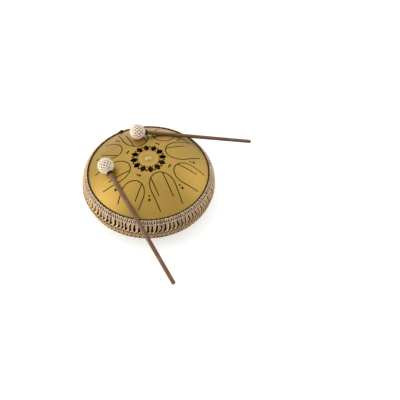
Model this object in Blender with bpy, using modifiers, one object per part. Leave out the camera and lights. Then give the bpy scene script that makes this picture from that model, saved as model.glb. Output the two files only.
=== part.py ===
"""A steel tongue drum with a rope-laced rim, and the two mallets that lie on it.

Units are metres and +Z is up. The origin is the centre of the flat base disc,
and the drum's front is towards -Y. It is made of two pressed steel shells that
meet at a seam round the rim. Eight tongues are slit into the upper shell, a flower
of vents is pierced round its middle, and a net of cord covers the rim.
"""

import collections
from math import asin, cos, pi, radians, sin, tan

import bmesh
import bpy
import numpy as np
from mathutils import Matrix, Vector

# Gap between pieces that touch, and the distance under which points are made one
GAP = 0.0003
WELD = 0.00001

# Turned pieces round the drum's axis share one number of steps. They start off
# the tongues' axes, so that no cut runs along a seam between two facets.
DRUM_STEPS = 48
TURN_START = radians(2.6)

# Playing dome, from the boss in its middle to the rim cord
SHEET = 0.002
PLATE_RADIUS = 0.138
PLATE_EDGE_Z = 0.078
DOME_RISE = 0.0418
DOME_FULLNESS = 2.65
DOME_ROWS = 7
DOME_CROWDING = 0.7
BOSS_RADIUS = 0.009
BOSS_HEIGHT = 0.0035
BOSS_SHARES = (0, 0.5, 0.85)

# Rim of the upper shell: a tight shoulder, then a straight side down to the seam
SHOULDER_INSET = 0.001
SHOULDER_RADIUS = 0.009
SHOULDER_POINTS = 3
UPPER_SIDE_SLOPE = radians(78)
SEAM_Z = 0.046

# Lower shell: straight side, round knuckle, shallow cone and flat base disc
BASE_RADIUS = 0.070
KNUCKLE_RADIUS = 0.026
KNUCKLE_POINTS = 3
LOWER_SIDE_SLOPE = radians(105)
CONE_SLOPE = radians(168)

# Tongues: slit width, and how a tongue narrows from its widest place to its root
SLIT = 0.0014
TONGUE_STEP = radians(45)
FIRST_TONGUE = radians(-67.5)
NOSE_LENGTH_LONG = 0.036
NOSE_LENGTH_SHORT = 0.031
ROOT_TAPER = 0.0020
NOSE_POINTS = 9

# Each tongue is tuned by its own slits. The tip is measured from the drum's
# centre, the margin from the plate's edge to the slits' outer ends, and a
# tuning slit by its offset from the tongue's axis and the margin at its end.
Tongue = collections.namedtuple("Tongue", "tip half_width nose margin tuning_slits")
TONGUES = (
    Tongue(0.044, 0.0280, NOSE_LENGTH_LONG, 0.014, ((0.012, 0.032), (-0.017, 0.043))),
    Tongue(0.062, 0.0268, NOSE_LENGTH_SHORT, 0.012, ((0.0115, 0.027),)),
    Tongue(0.044, 0.0285, NOSE_LENGTH_LONG, 0.020, ((0.0135, 0.041),)),
    Tongue(0.064, 0.0255, NOSE_LENGTH_SHORT, 0.016, ((0.0122, 0.036),)),
    Tongue(0.044, 0.0288, NOSE_LENGTH_LONG, 0.018, ((0.0147, 0.034), (-0.017, 0.043))),
    Tongue(0.066, 0.0258, NOSE_LENGTH_SHORT, 0.018, ((0.0122, 0.027),)),
    Tongue(0.045, 0.0275, NOSE_LENGTH_LONG, 0.019, ((0.0137, 0.037),)),
    Tongue(0.065, 0.0256, NOSE_LENGTH_SHORT, 0.017, ((0.0115, 0.031),)),
)

# Pairs of round holes between the tongues, and pairs of pips at the short tips
HOLE_RING_RADIUS = 0.1025
HOLE_RADIUS = 0.0026
SMALL_HOLE_RING_RADIUS = 0.0945
SMALL_HOLE_RADIUS = 0.0016
PIP_RING_RADIUS = 0.051
PIP_RADIUS = 0.0014
SMALL_PIP_RADIUS = 0.0009
PIP_SPACING = 0.0045
HOLE_SIDES = 10
SMALL_HOLE_SIDES = 8
DOT_SIDES = 6

# Flower of vents: twelve leaves with a dot outside and inside each gap
LEAVES = 12
LEAF_PHASE = radians(7.5)
LEAF_INNER_RADIUS = 0.0231
LEAF_WIDEST_RADIUS = 0.0322
LEAF_OUTER_RADIUS = 0.0400
LEAF_HALF_WIDTH = 0.0051
LEAF_FULLNESS = 0.66
OUTER_DOT_RING_RADIUS = 0.0350
OUTER_DOT_RADIUS = 0.0013
INNER_DOT_RING_RADIUS = 0.0256
INNER_DOT_RADIUS = 0.0011

# Rope net on the rim: its bulged outline, its two braids and the lacing between.
# The net is two cords thick, and a felt pad fills the bulge behind it.
ROPE_DEPTH = 0.017
NET_DEPTH = 0.0052
ROPE_ROWS = 4
ROPE_TOP_DROP = 0.0008
LINER = 0.0012
LINER_TOP_DROP = 0.0050
LINER_FOOT_RISE = 0.0135
BRAID_TOP_DROP = 0.0016
UPPER_BRAID_HEIGHT = 0.0056
LOWER_BRAID_HEIGHT = 0.0150
BRAID_FOOT_RISE = 0.0112
LACING_UNITS = 100
LACING_GROOVE = 0.0016
EDGE_CORD_RADIUS = 0.0013
KNOT_ANGLE = radians(118)
KNOT_HALF_LENGTH = 0.0048
KNOT_HALF_HEIGHT = 0.0030

# Feet, each held by a pan screw and a nut inside the shell
FEET = 4
FOOT_CIRCLE = 0.056
FOOT_PHASE = radians(45)
FOOT_RADIUS = 0.009
FOOT_HEIGHT = 0.008
FOOT_EDGE = 0.0008
FOOT_RECESS_RADIUS = 0.0046
FOOT_FLOOR = 0.0042
FOOT_STEPS = 14
SCREW_STEPS = 10
SCREW_RADIUS = 0.0020
SCREW_HEAD_RADIUS = 0.0038
SCREW_HEAD_HEIGHT = 0.0022
SCREW_HEAD_SIDE = 0.0013
SCREW_RECESS_RADIUS = 0.0010
SCREW_RECESS_DEPTH = 0.0013
SCREW_PROUD = 0.0015
NUT_HALF_FLATS = 0.0035
NUT_HEIGHT = 0.0032

# Mallets: how far in from the plate's edge and at which bearing each head lies,
# and the heading of its stick. A core and its cover share their steps and rings,
# so that the gap between them is even.
HEAD_STEPS = 16
CORE_RINGS = 8
COVER_RINGS = 10
HEAD_RADIUS = 0.0195
CORE_RADIUS = 0.0160
STICK_RADIUS = 0.0045
STICK_REACH = 0.300
STICK_IN_CORE = 0.014
STICK_END_ROUND = 0.003
STICK_END_INSET = 0.0015
STICK_END_RISE = 0.0006
STICK_STEPS = 12
BINDING_STEPS = 10
BINDING_LENGTH = 0.009
BINDING_TURNS = 4
BINDING_DEPTH = 0.0017
BINDING_VALLEY = 0.0008
Mallet = collections.namedtuple("Mallet", "name margin bearing heading")
MALLETS = (
    Mallet("mallet_1", 0.0579, radians(107.15), radians(8.5)),
    Mallet("mallet_2", 0.0433, radians(193.25), radians(-61.5)),
)

# How finely the drum's outline and a stick are sampled to lay the mallets on it
SKYLINE_POINTS = 300
STICK_POINTS = 240
HALVINGS = 40

STEEL_GOLD = ("gold_lacquered_steel", (0.42, 0.27, 0.06), 0.38, 0.85)
RUBBER = ("black_rubber", (0.02, 0.02, 0.02), 0.75, 0.0)
FELT = ("black_felt", (0.012, 0.012, 0.013), 0.95, 0.0)
CORD = ("natural_cord", (0.60, 0.44, 0.28), 0.9, 0.0)
DARK_CORD = ("dark_cord", (0.02, 0.017, 0.015), 0.85, 0.0)
ZINC = ("zinc_plated_steel", (0.60, 0.60, 0.58), 0.35, 1.0)
DARK_WOOD = ("dark_stained_wood", (0.09, 0.035, 0.018), 0.45, 0.0)
CORE_RUBBER = ("core_rubber", (0.10, 0.09, 0.08), 0.8, 0.0)
COTTON = ("crocheted_cotton", (0.66, 0.50, 0.36), 0.95, 0.0)


def clear_scene():
    for obj in list(bpy.data.objects):
        bpy.data.objects.remove(obj, do_unlink=True)


def new_collection(name):
    collection = bpy.data.collections.new(name)
    bpy.context.scene.collection.children.link(collection)
    return collection


def finish_material(finish):
    """The named finish as a Principled material, made once."""
    name, colour, roughness, metallic = finish
    material = bpy.data.materials.get(name)
    if material is None:
        material = bpy.data.materials.new(name)
        material.use_nodes = True
        shader = material.node_tree.nodes["Principled BSDF"]
        shader.inputs["Base Color"].default_value = (*colour, 1)
        shader.inputs["Roughness"].default_value = roughness
        shader.inputs["Metallic"].default_value = metallic
    return material


def add_object(name, data, collection, finish=None):
    obj = bpy.data.objects.new(name, data)
    collection.objects.link(obj)
    if finish:
        data.materials.append(finish_material(finish))
    return obj


def turned(name, profile, collection, finish=None, closed=False, steps=DRUM_STEPS):
    """A profile of (radius, z) points turned about Z. It runs down the outer side."""
    count = len(profile)
    edges = [(i, i + 1) for i in range(count - 1)]
    if closed:
        edges.append((count - 1, 0))
    mesh = bpy.data.meshes.new(name)
    mesh.from_pydata([(*polar(radius, TURN_START), z) for radius, z in profile], edges, [])
    obj = add_object(name, mesh, collection, finish)
    screw = obj.modifiers.new("Turn", "SCREW")
    screw.steps = screw.render_steps = steps
    screw.use_merge_vertices = True
    screw.merge_threshold = WELD
    screw.use_smooth_shade = False
    return obj


def cutter_from_outlines(name, outlines, bottom, top, collection):
    """Flat closed outlines as one curve, extruded from bottom to top and made a mesh."""
    curve = bpy.data.curves.new(name, "CURVE")
    curve.dimensions = "2D"
    curve.fill_mode = "BOTH"
    curve.extrude = (top - bottom) / 2
    for outline in outlines:
        spline = curve.splines.new("POLY")
        spline.points.add(len(outline) - 1)
        for point, (x, y) in zip(spline.points, outline):
            point.co = (x, y, 0, 1)
        spline.use_cyclic_u = True
    drawn = add_object(name + "_outline", curve, collection)
    drawn.location.z = (top + bottom) / 2
    bpy.context.view_layer.update()
    graph = bpy.context.evaluated_depsgraph_get()
    mesh = bpy.data.meshes.new_from_object(drawn.evaluated_get(graph))
    shape = bmesh.new()
    shape.from_mesh(mesh)
    bmesh.ops.remove_doubles(shape, verts=shape.verts, dist=WELD)
    bmesh.ops.recalc_face_normals(shape, faces=shape.faces)
    shape.to_mesh(mesh)
    shape.free()
    cutter = add_object(name, mesh, collection)
    cutter.matrix_world = drawn.matrix_world
    bpy.data.objects.remove(drawn, do_unlink=True)
    cutter.hide_render = True
    cutter.display_type = "WIRE"
    return cutter


def cut(obj, cutter):
    boolean = obj.modifiers.new("Cut " + cutter.name, "BOOLEAN")
    boolean.operation = "DIFFERENCE"
    boolean.solver = "EXACT"
    boolean.object = cutter


def polar(radius, angle):
    return radius * cos(angle), radius * sin(angle)


def circle(centre, radius, sides):
    x, y = centre
    return [
        (x + radius * cos(2 * pi * i / sides), y + radius * sin(2 * pi * i / sides))
        for i in range(sides)
    ]


def turning_path(start, radius, slope_from, slope_to, count):
    """Points after start on an arc whose downward slope turns from one to the other."""
    r, z = start
    slopes = np.linspace(slope_from, slope_to, count + 1)[1:]
    return [
        (
            r + radius * (sin(slope) - sin(slope_from)),
            z - radius * (cos(slope_from) - cos(slope)),
        )
        for slope in slopes
    ]


def dome_z(radius):
    return PLATE_EDGE_Z + DOME_RISE * (1 - (radius / PLATE_RADIUS) ** DOME_FULLNESS)


def dome_slope(radius):
    share = radius / PLATE_RADIUS
    return np.arctan(DOME_RISE * DOME_FULLNESS / PLATE_RADIUS * share ** (DOME_FULLNESS - 1))


def dome_profile():
    """The dome from the boss to the shoulder, with its points closer at the edge."""
    outer = PLATE_RADIUS - SHOULDER_INSET
    first = (BOSS_RADIUS / outer) ** (1 / DOME_CROWDING)
    radii = outer * np.linspace(first, 1, DOME_ROWS) ** DOME_CROWDING
    return [(r, dome_z(r)) for r in radii]


def upper_side_profile():
    """From the dome's edge over the shoulder and straight down to the seam."""
    start = (PLATE_RADIUS - SHOULDER_INSET, dome_z(PLATE_RADIUS - SHOULDER_INSET))
    slope = dome_slope(start[0])
    shoulder = turning_path(start, SHOULDER_RADIUS, slope, UPPER_SIDE_SLOPE, SHOULDER_POINTS)
    r, z = shoulder[-1]
    return shoulder + [(r + (z - SEAM_Z) / tan(UPPER_SIDE_SLOPE), SEAM_Z)]


def lower_side_profile():
    """From the seam down the side and round the knuckle to the cone's start.

    The side's length and the cone's are the two that close the path between
    the seam and the base disc.
    """
    seam_radius = upper_side_profile()[-1][0]
    seam_z = SEAM_Z - GAP
    knuckle_in = KNUCKLE_RADIUS * (sin(LOWER_SIDE_SLOPE) - sin(CONE_SLOPE))
    knuckle_down = KNUCKLE_RADIUS * (cos(LOWER_SIDE_SLOPE) - cos(CONE_SLOPE))
    closing = (
        (sin(LOWER_SIDE_SLOPE), sin(CONE_SLOPE)),
        (-cos(LOWER_SIDE_SLOPE), -cos(CONE_SLOPE)),
    )
    to_close = (seam_z - knuckle_down, seam_radius - BASE_RADIUS - knuckle_in)
    side, _cone = np.linalg.solve(closing, to_close)
    start = (
        seam_radius + side * cos(LOWER_SIDE_SLOPE),
        seam_z - side * sin(LOWER_SIDE_SLOPE),
    )
    knuckle = turning_path(
        start, KNUCKLE_RADIUS, LOWER_SIDE_SLOPE, CONE_SLOPE, KNUCKLE_POINTS
    )
    return [(seam_radius, seam_z), start] + knuckle


def offset_path(path, distance):
    """A downward (radius, z) path moved outwards, each stretch by the same distance."""
    points = np.array(path)
    runs = np.diff(points, axis=0)
    runs /= np.linalg.norm(runs, axis=1)[:, None]
    square = np.stack([-runs[:, 1], runs[:, 0]], axis=1)
    before = np.vstack([square[:1], square])
    after = np.vstack([square, square[-1:]])
    spread = 1 + (before * after).sum(axis=1, keepdims=True)
    return points + distance * (before + after) / spread


def path_between(path, top, bottom):
    """The stretch of a downward path between two heights."""
    inside = [tuple(p) for p in path if bottom < p[1] < top]
    return [(radius_on(path, top), top)] + inside + [(radius_on(path, bottom), bottom)]


def radius_on(path, z):
    """The radius at a height on a path that runs down."""
    return float(np.interp(z, path[::-1, 1], path[::-1, 0]))


def steel_side(distance):
    """The rim's steel outline from shoulder to cone, moved outwards by distance."""
    return offset_path(upper_side_profile() + lower_side_profile()[1:], distance)


def rope_half_height():
    return PLATE_EDGE_Z - ROPE_TOP_DROP - SEAM_Z


def rope_outline(z):
    """The radius of the rope net's bulged outside at a height."""
    tilt = asin((z - SEAM_Z) / rope_half_height())
    return PLATE_RADIUS + ROPE_DEPTH * cos(tilt)


def rope_heights():
    """Heights of the upper braid's top, both ends of the lacing, and the lower foot."""
    top = PLATE_EDGE_Z - ROPE_TOP_DROP - BRAID_TOP_DROP
    foot = SEAM_Z - rope_half_height() + BRAID_FOOT_RISE
    return top, top - UPPER_BRAID_HEIGHT, foot + LOWER_BRAID_HEIGHT, foot


def pad_path(top, bottom, lift):
    """The felt pad's outline between two heights, moved outwards by lift.

    It bulges with the net, and near its edges it is the liner's thickness off the
    steel. All pieces on it share its heights, so that their facets nest.
    """
    steel = steel_side(GAP + LINER)
    _, lacing_top, lacing_foot, _ = rope_heights()
    bends = set(steel[:, 1]) | set(np.linspace(lacing_top, lacing_foot, ROPE_ROWS))
    inside = [z for z in sorted(bends, reverse=True) if bottom < z < top]
    return [
        (max(radius_on(steel, z), rope_outline(z) - NET_DEPTH) + lift, z)
        for z in (top, *inside, bottom)
    ]


def rope_section(top, bottom):
    """A closed outline between the pad and the rope's outside, from top to bottom."""
    outer_side = [(rope_outline(z), z) for z in np.linspace(top, bottom, ROPE_ROWS)]
    return outer_side + pad_path(top, bottom, GAP)[::-1]


def turn_plan(points, angle):
    return [
        (x * cos(angle) - y * sin(angle), x * sin(angle) + y * cos(angle))
        for x, y in points
    ]


def ribbon(path, width):
    """A closed outline of one width along an open path."""
    points = np.array(path)
    along = np.gradient(points, axis=0)
    along /= np.linalg.norm(along, axis=1)[:, None]
    side = np.stack([-along[:, 1], along[:, 0]], axis=1) * width / 2
    return [tuple(p) for p in points + side] + [tuple(p) for p in (points - side)[::-1]]


def tongue_path(tongue):
    """The centre line of a tongue's slit, with the tongue's axis along +X.

    The nose is half an ellipse, and the sides draw in a little to the root.
    """
    widest = tongue.tip + tongue.nose
    root = PLATE_RADIUS - tongue.margin
    nose = [
        (widest - tongue.nose * cos(turn), tongue.half_width * sin(turn))
        for turn in np.linspace(-pi / 2, pi / 2, NOSE_POINTS)
    ]
    root_half = tongue.half_width - ROOT_TAPER
    return [(root, -root_half)] + nose + [(root, root_half)]


def tuning_path(tongue, offset, margin):
    """A straight slit that starts on the tongue's own slit and runs outwards."""
    widest = tongue.tip + tongue.nose
    reach = tongue.nose * (1 - (offset / tongue.half_width) ** 2) ** 0.5
    return [(widest - reach, offset), (PLATE_RADIUS - margin, offset)]


def leaf(angle):
    """A pointed leaf, widest a little beyond its middle."""
    inner = (LEAF_WIDEST_RADIUS + LEAF_INNER_RADIUS) / 2
    outer = (LEAF_WIDEST_RADIUS + LEAF_OUTER_RADIUS) / 2
    shoulder = LEAF_HALF_WIDTH * LEAF_FULLNESS
    upper = [(inner, shoulder), (LEAF_WIDEST_RADIUS, LEAF_HALF_WIDTH), (outer, shoulder)]
    lower = [(x, -y) for x, y in reversed(upper)]
    points = [(LEAF_INNER_RADIUS, 0)] + upper + [(LEAF_OUTER_RADIUS, 0)] + lower
    return turn_plan(points, angle)


def plate_holes():
    """Outlines of the round holes, the pips and the flower, which don't touch."""
    outlines = []
    for k in range(len(TONGUES)):
        angle = k * TONGUE_STEP
        centre = polar(HOLE_RING_RADIUS, angle)
        outlines.append(circle(centre, HOLE_RADIUS, HOLE_SIDES))
        centre = polar(SMALL_HOLE_RING_RADIUS, angle)
        outlines.append(circle(centre, SMALL_HOLE_RADIUS, SMALL_HOLE_SIDES))
    for k in range(1, len(TONGUES), 2):
        angle = FIRST_TONGUE + k * TONGUE_STEP
        beside = angle - PIP_SPACING / PIP_RING_RADIUS
        for place, radius in ((angle, PIP_RADIUS), (beside, SMALL_PIP_RADIUS)):
            outlines.append(circle(polar(PIP_RING_RADIUS, place), radius, DOT_SIDES))
    for k in range(LEAVES):
        angle = LEAF_PHASE + 2 * pi * k / LEAVES
        between = angle + pi / LEAVES
        outlines.append(leaf(angle))
        for ring, radius in (
            (OUTER_DOT_RING_RADIUS, OUTER_DOT_RADIUS),
            (INNER_DOT_RING_RADIUS, INNER_DOT_RADIUS),
        ):
            outlines.append(circle(polar(ring, between), radius, DOT_SIDES))
    return outlines


def inner_wall(outer, seam_z):
    """The inside of a shell's outline: its pole on the axis and its seam end level."""
    moved = offset_path(outer, -SHEET)
    seam_end = (radius_on(moved, seam_z), seam_z)
    middle = [tuple(p) for p in moved[1:-1]]
    if outer[0][0] == 0:
        return [(0, outer[0][1] - SHEET)] + middle + [seam_end]
    return [seam_end] + middle + [(0, outer[-1][1] + SHEET)]


def add_upper_shell(parts, cutters):
    """The playing dome, with its side down to the seam, slit and pierced."""
    crown = dome_z(0)
    boss = [
        (share * BOSS_RADIUS, crown + BOSS_HEIGHT * (1 - share**2))
        for share in BOSS_SHARES
    ]
    outer = boss + dome_profile() + upper_side_profile()
    shell = turned("top_shell", outer + inner_wall(outer, SEAM_Z)[::-1], parts, STEEL_GOLD)
    tongue_slits = []
    tuning_slits = []
    for k, tongue in enumerate(TONGUES):
        angle = FIRST_TONGUE + k * TONGUE_STEP
        tongue_slits.append(turn_plan(ribbon(tongue_path(tongue), SLIT), angle))
        for offset, margin in tongue.tuning_slits:
            straight = ribbon(tuning_path(tongue, offset, margin), SLIT)
            tuning_slits.append(turn_plan(straight, angle))
    bottom = SEAM_Z
    top = crown + BOSS_HEIGHT + SHEET
    for name, outlines in (
        ("tongue_slit_cutter", tongue_slits),
        ("tuning_slit_cutter", tuning_slits),
        ("plate_hole_cutter", plate_holes()),
    ):
        cut(shell, cutter_from_outlines(name, outlines, bottom, top, cutters))


def foot_places():
    return [polar(FOOT_CIRCLE, FOOT_PHASE + 2 * pi * k / FEET) for k in range(FEET)]


def add_lower_shell(parts, cutters):
    """The bowl below the seam, with a flat base disc and a hole for each foot."""
    outer = lower_side_profile() + [(BASE_RADIUS, 0), (0, 0)]
    profile = inner_wall(outer, SEAM_Z - GAP)[::-1] + outer
    shell = turned("bottom_shell", profile, parts, STEEL_GOLD)
    holes = [circle(place, SCREW_RADIUS + GAP, 12) for place in foot_places()]
    cut(shell, cutter_from_outlines("foot_hole_cutter", holes, -SHEET, 2 * SHEET, cutters))


def add_liner(parts):
    """A padded felt band on the rim's steel, which shows dark through the rope net."""
    top = PLATE_EDGE_Z - LINER_TOP_DROP
    foot = SEAM_Z - rope_half_height() + LINER_FOOT_RISE
    outer_side = pad_path(top, foot, 0)
    inner_side = path_between(steel_side(GAP), top, foot)
    turned("rim_liner", outer_side + inner_side[::-1], parts, FELT, closed=True)


def add_braids(parts):
    top, lacing_top, lacing_foot, foot = rope_heights()
    upper = rope_section(top, lacing_top + GAP)
    lower = rope_section(lacing_foot - GAP, foot)
    turned("rope_braid_upper", upper, parts, CORD, closed=True)
    turned("rope_braid_lower", lower, parts, CORD, closed=True)


def add_lacing(parts):
    """The band of crossing strands, ridged once for each unit of the net."""
    _, top, bottom, _ = rope_heights()
    section = rope_section(top, bottom)
    steps = 2 * LACING_UNITS
    inner = np.array(pad_path(top, bottom, GAP))
    shape = bmesh.new()
    verts = [shape.verts.new((r, 0, z)) for r, z in section]
    edges = [shape.edges.new((verts[i - 1], verts[i])) for i in range(len(verts))]
    bmesh.ops.spin(
        shape, geom=verts + edges, cent=(0, 0, 0), axis=(0, 0, 1),
        angle=2 * pi, steps=steps, use_merge=True,
    )
    bmesh.ops.remove_doubles(shape, verts=shape.verts, dist=WELD)
    for vert in shape.verts:
        step = round(np.arctan2(vert.co.y, vert.co.x) * steps / (2 * pi))
        radius = Vector(vert.co.xy).length
        if step % 2 and radius > radius_on(inner, vert.co.z) + LACING_GROOVE:
            vert.co.xy *= (radius - LACING_GROOVE) / radius
    bmesh.ops.recalc_face_normals(shape, faces=shape.faces)
    mesh = bpy.data.meshes.new("rope_lacing")
    shape.to_mesh(mesh)
    shape.free()
    add_object("rope_lacing", mesh, parts, CORD)


def upper_cord_centre(lift):
    """A point lift above the steel, where the dome turns into the shoulder.

    The slope of the steel there comes with it.
    """
    r0, z0 = PLATE_RADIUS - SHOULDER_INSET, dome_z(PLATE_RADIUS - SHOULDER_INSET)
    r1, z1 = upper_side_profile()[0]
    slope = np.arctan2(z0 - z1, r1 - r0)
    return (r0 + r1) / 2 + lift * sin(slope), (z0 + z1) / 2 + lift * cos(slope), slope


def ring_cord(name, r, z, slope, parts):
    """A thin four-sided cord laid once round the drum, one edge on a sloping face."""
    section = [
        (r + EDGE_CORD_RADIUS * sin(turn), z + EDGE_CORD_RADIUS * cos(turn))
        for turn in (slope, slope + pi / 2, slope + pi, slope - pi / 2)
    ]
    turned(name, section, parts, DARK_CORD, closed=True)


def add_edge_cords(parts):
    """Dark cords along the net's upper and lower edges, and the upper one's knot."""
    r, z, slope = upper_cord_centre(EDGE_CORD_RADIUS + GAP)
    ring_cord("edge_cord_upper", r, z, slope, parts)
    foot = rope_heights()[3]
    lower_radius = rope_outline(foot) - EDGE_CORD_RADIUS
    ring_cord("edge_cord_lower", lower_radius, foot - GAP - EDGE_CORD_RADIUS, 0, parts)
    lift = EDGE_CORD_RADIUS + GAP + KNOT_HALF_HEIGHT
    x, y = polar(r + lift * sin(slope), KNOT_ANGLE)
    shape = bmesh.new()
    bmesh.ops.create_uvsphere(shape, u_segments=10, v_segments=6, radius=1)
    size = (KNOT_HALF_HEIGHT, KNOT_HALF_LENGTH, KNOT_HALF_HEIGHT, 1)
    bmesh.ops.transform(shape, matrix=Matrix.Diagonal(size), verts=shape.verts)
    mesh = bpy.data.meshes.new("edge_cord_knot")
    shape.to_mesh(mesh)
    shape.free()
    knot = add_object("edge_cord_knot", mesh, parts, DARK_CORD)
    knot.location = (x, y, z + lift * cos(slope))
    knot.rotation_euler.z = KNOT_ANGLE


def add_foot(number, place, parts):
    """A rubber foot under the base disc, with its screw and its nut."""
    bore = SCREW_RADIUS + GAP
    sole = -GAP - FOOT_HEIGHT
    floor = -GAP - FOOT_FLOOR
    foot = [
        (bore, -GAP),
        (FOOT_RADIUS, -GAP),
        (FOOT_RADIUS, sole + FOOT_EDGE),
        (FOOT_RADIUS - FOOT_EDGE, sole),
        (FOOT_RECESS_RADIUS, sole),
        (FOOT_RECESS_RADIUS, floor),
        (bore, floor),
    ]
    nut_top = SHEET + GAP + NUT_HEIGHT
    under_head = floor - GAP
    screw = [
        (0, nut_top + SCREW_PROUD),
        (SCREW_RADIUS, nut_top + SCREW_PROUD),
        (SCREW_RADIUS, under_head),
        (SCREW_HEAD_RADIUS, under_head),
        (SCREW_HEAD_RADIUS, under_head - SCREW_HEAD_SIDE),
        (SCREW_RADIUS, under_head - SCREW_HEAD_HEIGHT),
        (SCREW_RECESS_RADIUS, under_head - SCREW_HEAD_HEIGHT),
        (0, under_head - SCREW_HEAD_HEIGHT + SCREW_RECESS_DEPTH),
    ]
    pieces = [
        turned(f"foot_{number}", foot, parts, RUBBER, closed=True, steps=FOOT_STEPS),
        turned(f"foot_screw_{number}", screw, parts, ZINC, steps=SCREW_STEPS),
    ]
    curve = bpy.data.curves.new(f"foot_nut_{number}", "CURVE")
    curve.dimensions = "2D"
    curve.fill_mode = "BOTH"
    curve.extrude = NUT_HEIGHT / 2
    for radius, sides in ((NUT_HALF_FLATS / cos(pi / 6), 6), (bore, 12)):
        spline = curve.splines.new("POLY")
        spline.points.add(sides - 1)
        for point, (x, y) in zip(spline.points, circle((0, 0), radius, sides)):
            point.co = (x, y, 0, 1)
        spline.use_cyclic_u = True
    nut = add_object(f"foot_nut_{number}", curve, parts, ZINC)
    nut.location.z = SHEET + GAP + NUT_HEIGHT / 2
    for piece in pieces + [nut]:
        piece.location.xy = place


def drum_skyline():
    """Points of the drum's outline as seen from above, dome then rope, top to bottom."""
    radii, heights = np.array(dome_profile()).T
    dome = [
        (r, np.interp(r, radii, heights))
        for r in np.linspace(radii[0], radii[-1], SKYLINE_POINTS)
    ]
    top = PLATE_EDGE_Z - ROPE_TOP_DROP
    rope = [(rope_outline(z), z) for z in np.linspace(top, SEAM_Z, SKYLINE_POINTS)]
    return np.array(dome + [upper_cord_centre(2 * EDGE_CORD_RADIUS + GAP)[:2]] + rope)


def drum_distance(points, skyline):
    """How far each point lies from the drum's outline."""
    points = np.atleast_2d(points)
    flat = np.stack([np.hypot(points[:, 0], points[:, 1]), points[:, 2]], axis=1)
    return np.linalg.norm(flat[:, None] - skyline[None], axis=2).min(axis=1)


def head_rest(x, y, skyline):
    """The head's centre, lowered at (x, y) until it is a gap from the dome."""
    low = dome_z(np.hypot(x, y))
    high = low + 2 * HEAD_RADIUS
    for _ in range(HALVINGS):
        middle = (low + high) / 2
        if drum_distance((x, y, middle), skyline)[0] < HEAD_RADIUS + GAP:
            low = middle
        else:
            high = middle
    return Vector((x, y, high))


def stick_rest(head, heading, skyline):
    """The way that the stick points once it has tipped down onto the drum."""
    level, steep = 0.0, radians(45)
    reach = np.linspace(HEAD_RADIUS, STICK_REACH, STICK_POINTS)[:, None]
    for _ in range(HALVINGS):
        middle = (level + steep) / 2
        flat = cos(middle)
        way = np.array((flat * cos(heading), flat * sin(heading), -sin(middle)))
        points = np.array(head) + reach * way
        if drum_distance(points, skyline).min() < STICK_RADIUS + GAP:
            steep = middle
        else:
            level = middle
    flat = cos(level)
    return Vector((flat * cos(heading), flat * sin(heading), -sin(level)))


def ball_arc(radius, neck, count):
    """From the neck's edge on a ball round to its pole at -Z."""
    turns = np.linspace(asin(neck / radius), pi, count)[:-1]
    return [(radius * sin(turn), radius * cos(turn)) for turn in turns] + [(0, -radius)]


def add_mallet(mallet, parts, skyline):
    """A ball head with its cover and binding on a round stick, all on one empty.

    The empty stands at the head's centre, and its +Z runs along the stick.
    """
    name = mallet.name
    head = head_rest(*polar(PLATE_RADIUS - mallet.margin, mallet.bearing), skyline)
    way = stick_rest(head, mallet.heading, skyline)
    holder = bpy.data.objects.new(name, None)
    parts.objects.link(holder)
    holder.empty_display_size = HEAD_RADIUS
    holder.location = head
    holder.rotation_mode = "QUATERNION"
    holder.rotation_quaternion = way.to_track_quat("Z", "Y")

    neck = STICK_RADIUS + GAP
    core_side = ball_arc(CORE_RADIUS, neck, CORE_RINGS)
    bore_floor = core_side[0][1] - STICK_IN_CORE
    core = [(0, bore_floor), (neck, bore_floor)] + core_side
    cover_side = ball_arc(HEAD_RADIUS, neck, COVER_RINGS)
    cover = ball_arc(CORE_RADIUS + GAP, neck, CORE_RINGS)[::-1] + cover_side
    stick = [
        (0, STICK_REACH),
        (STICK_RADIUS - STICK_END_INSET, STICK_REACH - STICK_END_RISE),
        (STICK_RADIUS, STICK_REACH - STICK_END_ROUND),
        (STICK_RADIUS, bore_floor + GAP),
        (0, bore_floor + GAP),
    ]
    binding_foot = cover_side[0][1] + GAP
    turn = BINDING_LENGTH / BINDING_TURNS
    binding = [(neck, binding_foot + BINDING_LENGTH)]
    for k in reversed(range(BINDING_TURNS)):
        crest = binding_foot + (k + 1 / 2) * turn
        binding.append((neck + BINDING_DEPTH, crest))
        binding.append((neck + BINDING_VALLEY, crest - turn / 2))
    binding.append((neck, binding_foot))
    for piece in (
        turned(name + "_core", core, parts, CORE_RUBBER, steps=HEAD_STEPS),
        turned(name + "_cover", cover, parts, COTTON, steps=HEAD_STEPS),
        turned(name + "_stick", stick, parts, DARK_WOOD, steps=STICK_STEPS),
        turned(name + "_binding", binding, parts, DARK_CORD, closed=True, steps=BINDING_STEPS),
    ):
        piece.parent = holder


def main():
    clear_scene()
    parts = new_collection("tongue_drum")
    cutters = new_collection("cutters")
    add_upper_shell(parts, cutters)
    add_lower_shell(parts, cutters)
    add_liner(parts)
    add_braids(parts)
    add_lacing(parts)
    add_edge_cords(parts)
    for number, place in enumerate(foot_places(), start=1):
        add_foot(number, place, parts)
    skyline = drum_skyline()
    for mallet in MALLETS:
        add_mallet(mallet, parts, skyline)


main()
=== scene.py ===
# %% [markdown]
# This file dresses a steel tongue drum: a lens of two pressed steel shells, slit
# tongues in the upper one, a net of cord round its rim, and two mallets with
# crocheted heads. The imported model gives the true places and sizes. Everything that
# shows in the picture is built around it here, one piece of the drum at a time.
# All lengths are in metres, and +Z is up.

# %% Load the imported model
from math import asin, atan, atan2, cos, degrees, pi, radians, sin, sqrt, tan

import bmesh
import bpy
import numpy as np
from mathutils import Matrix, Vector


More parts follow.
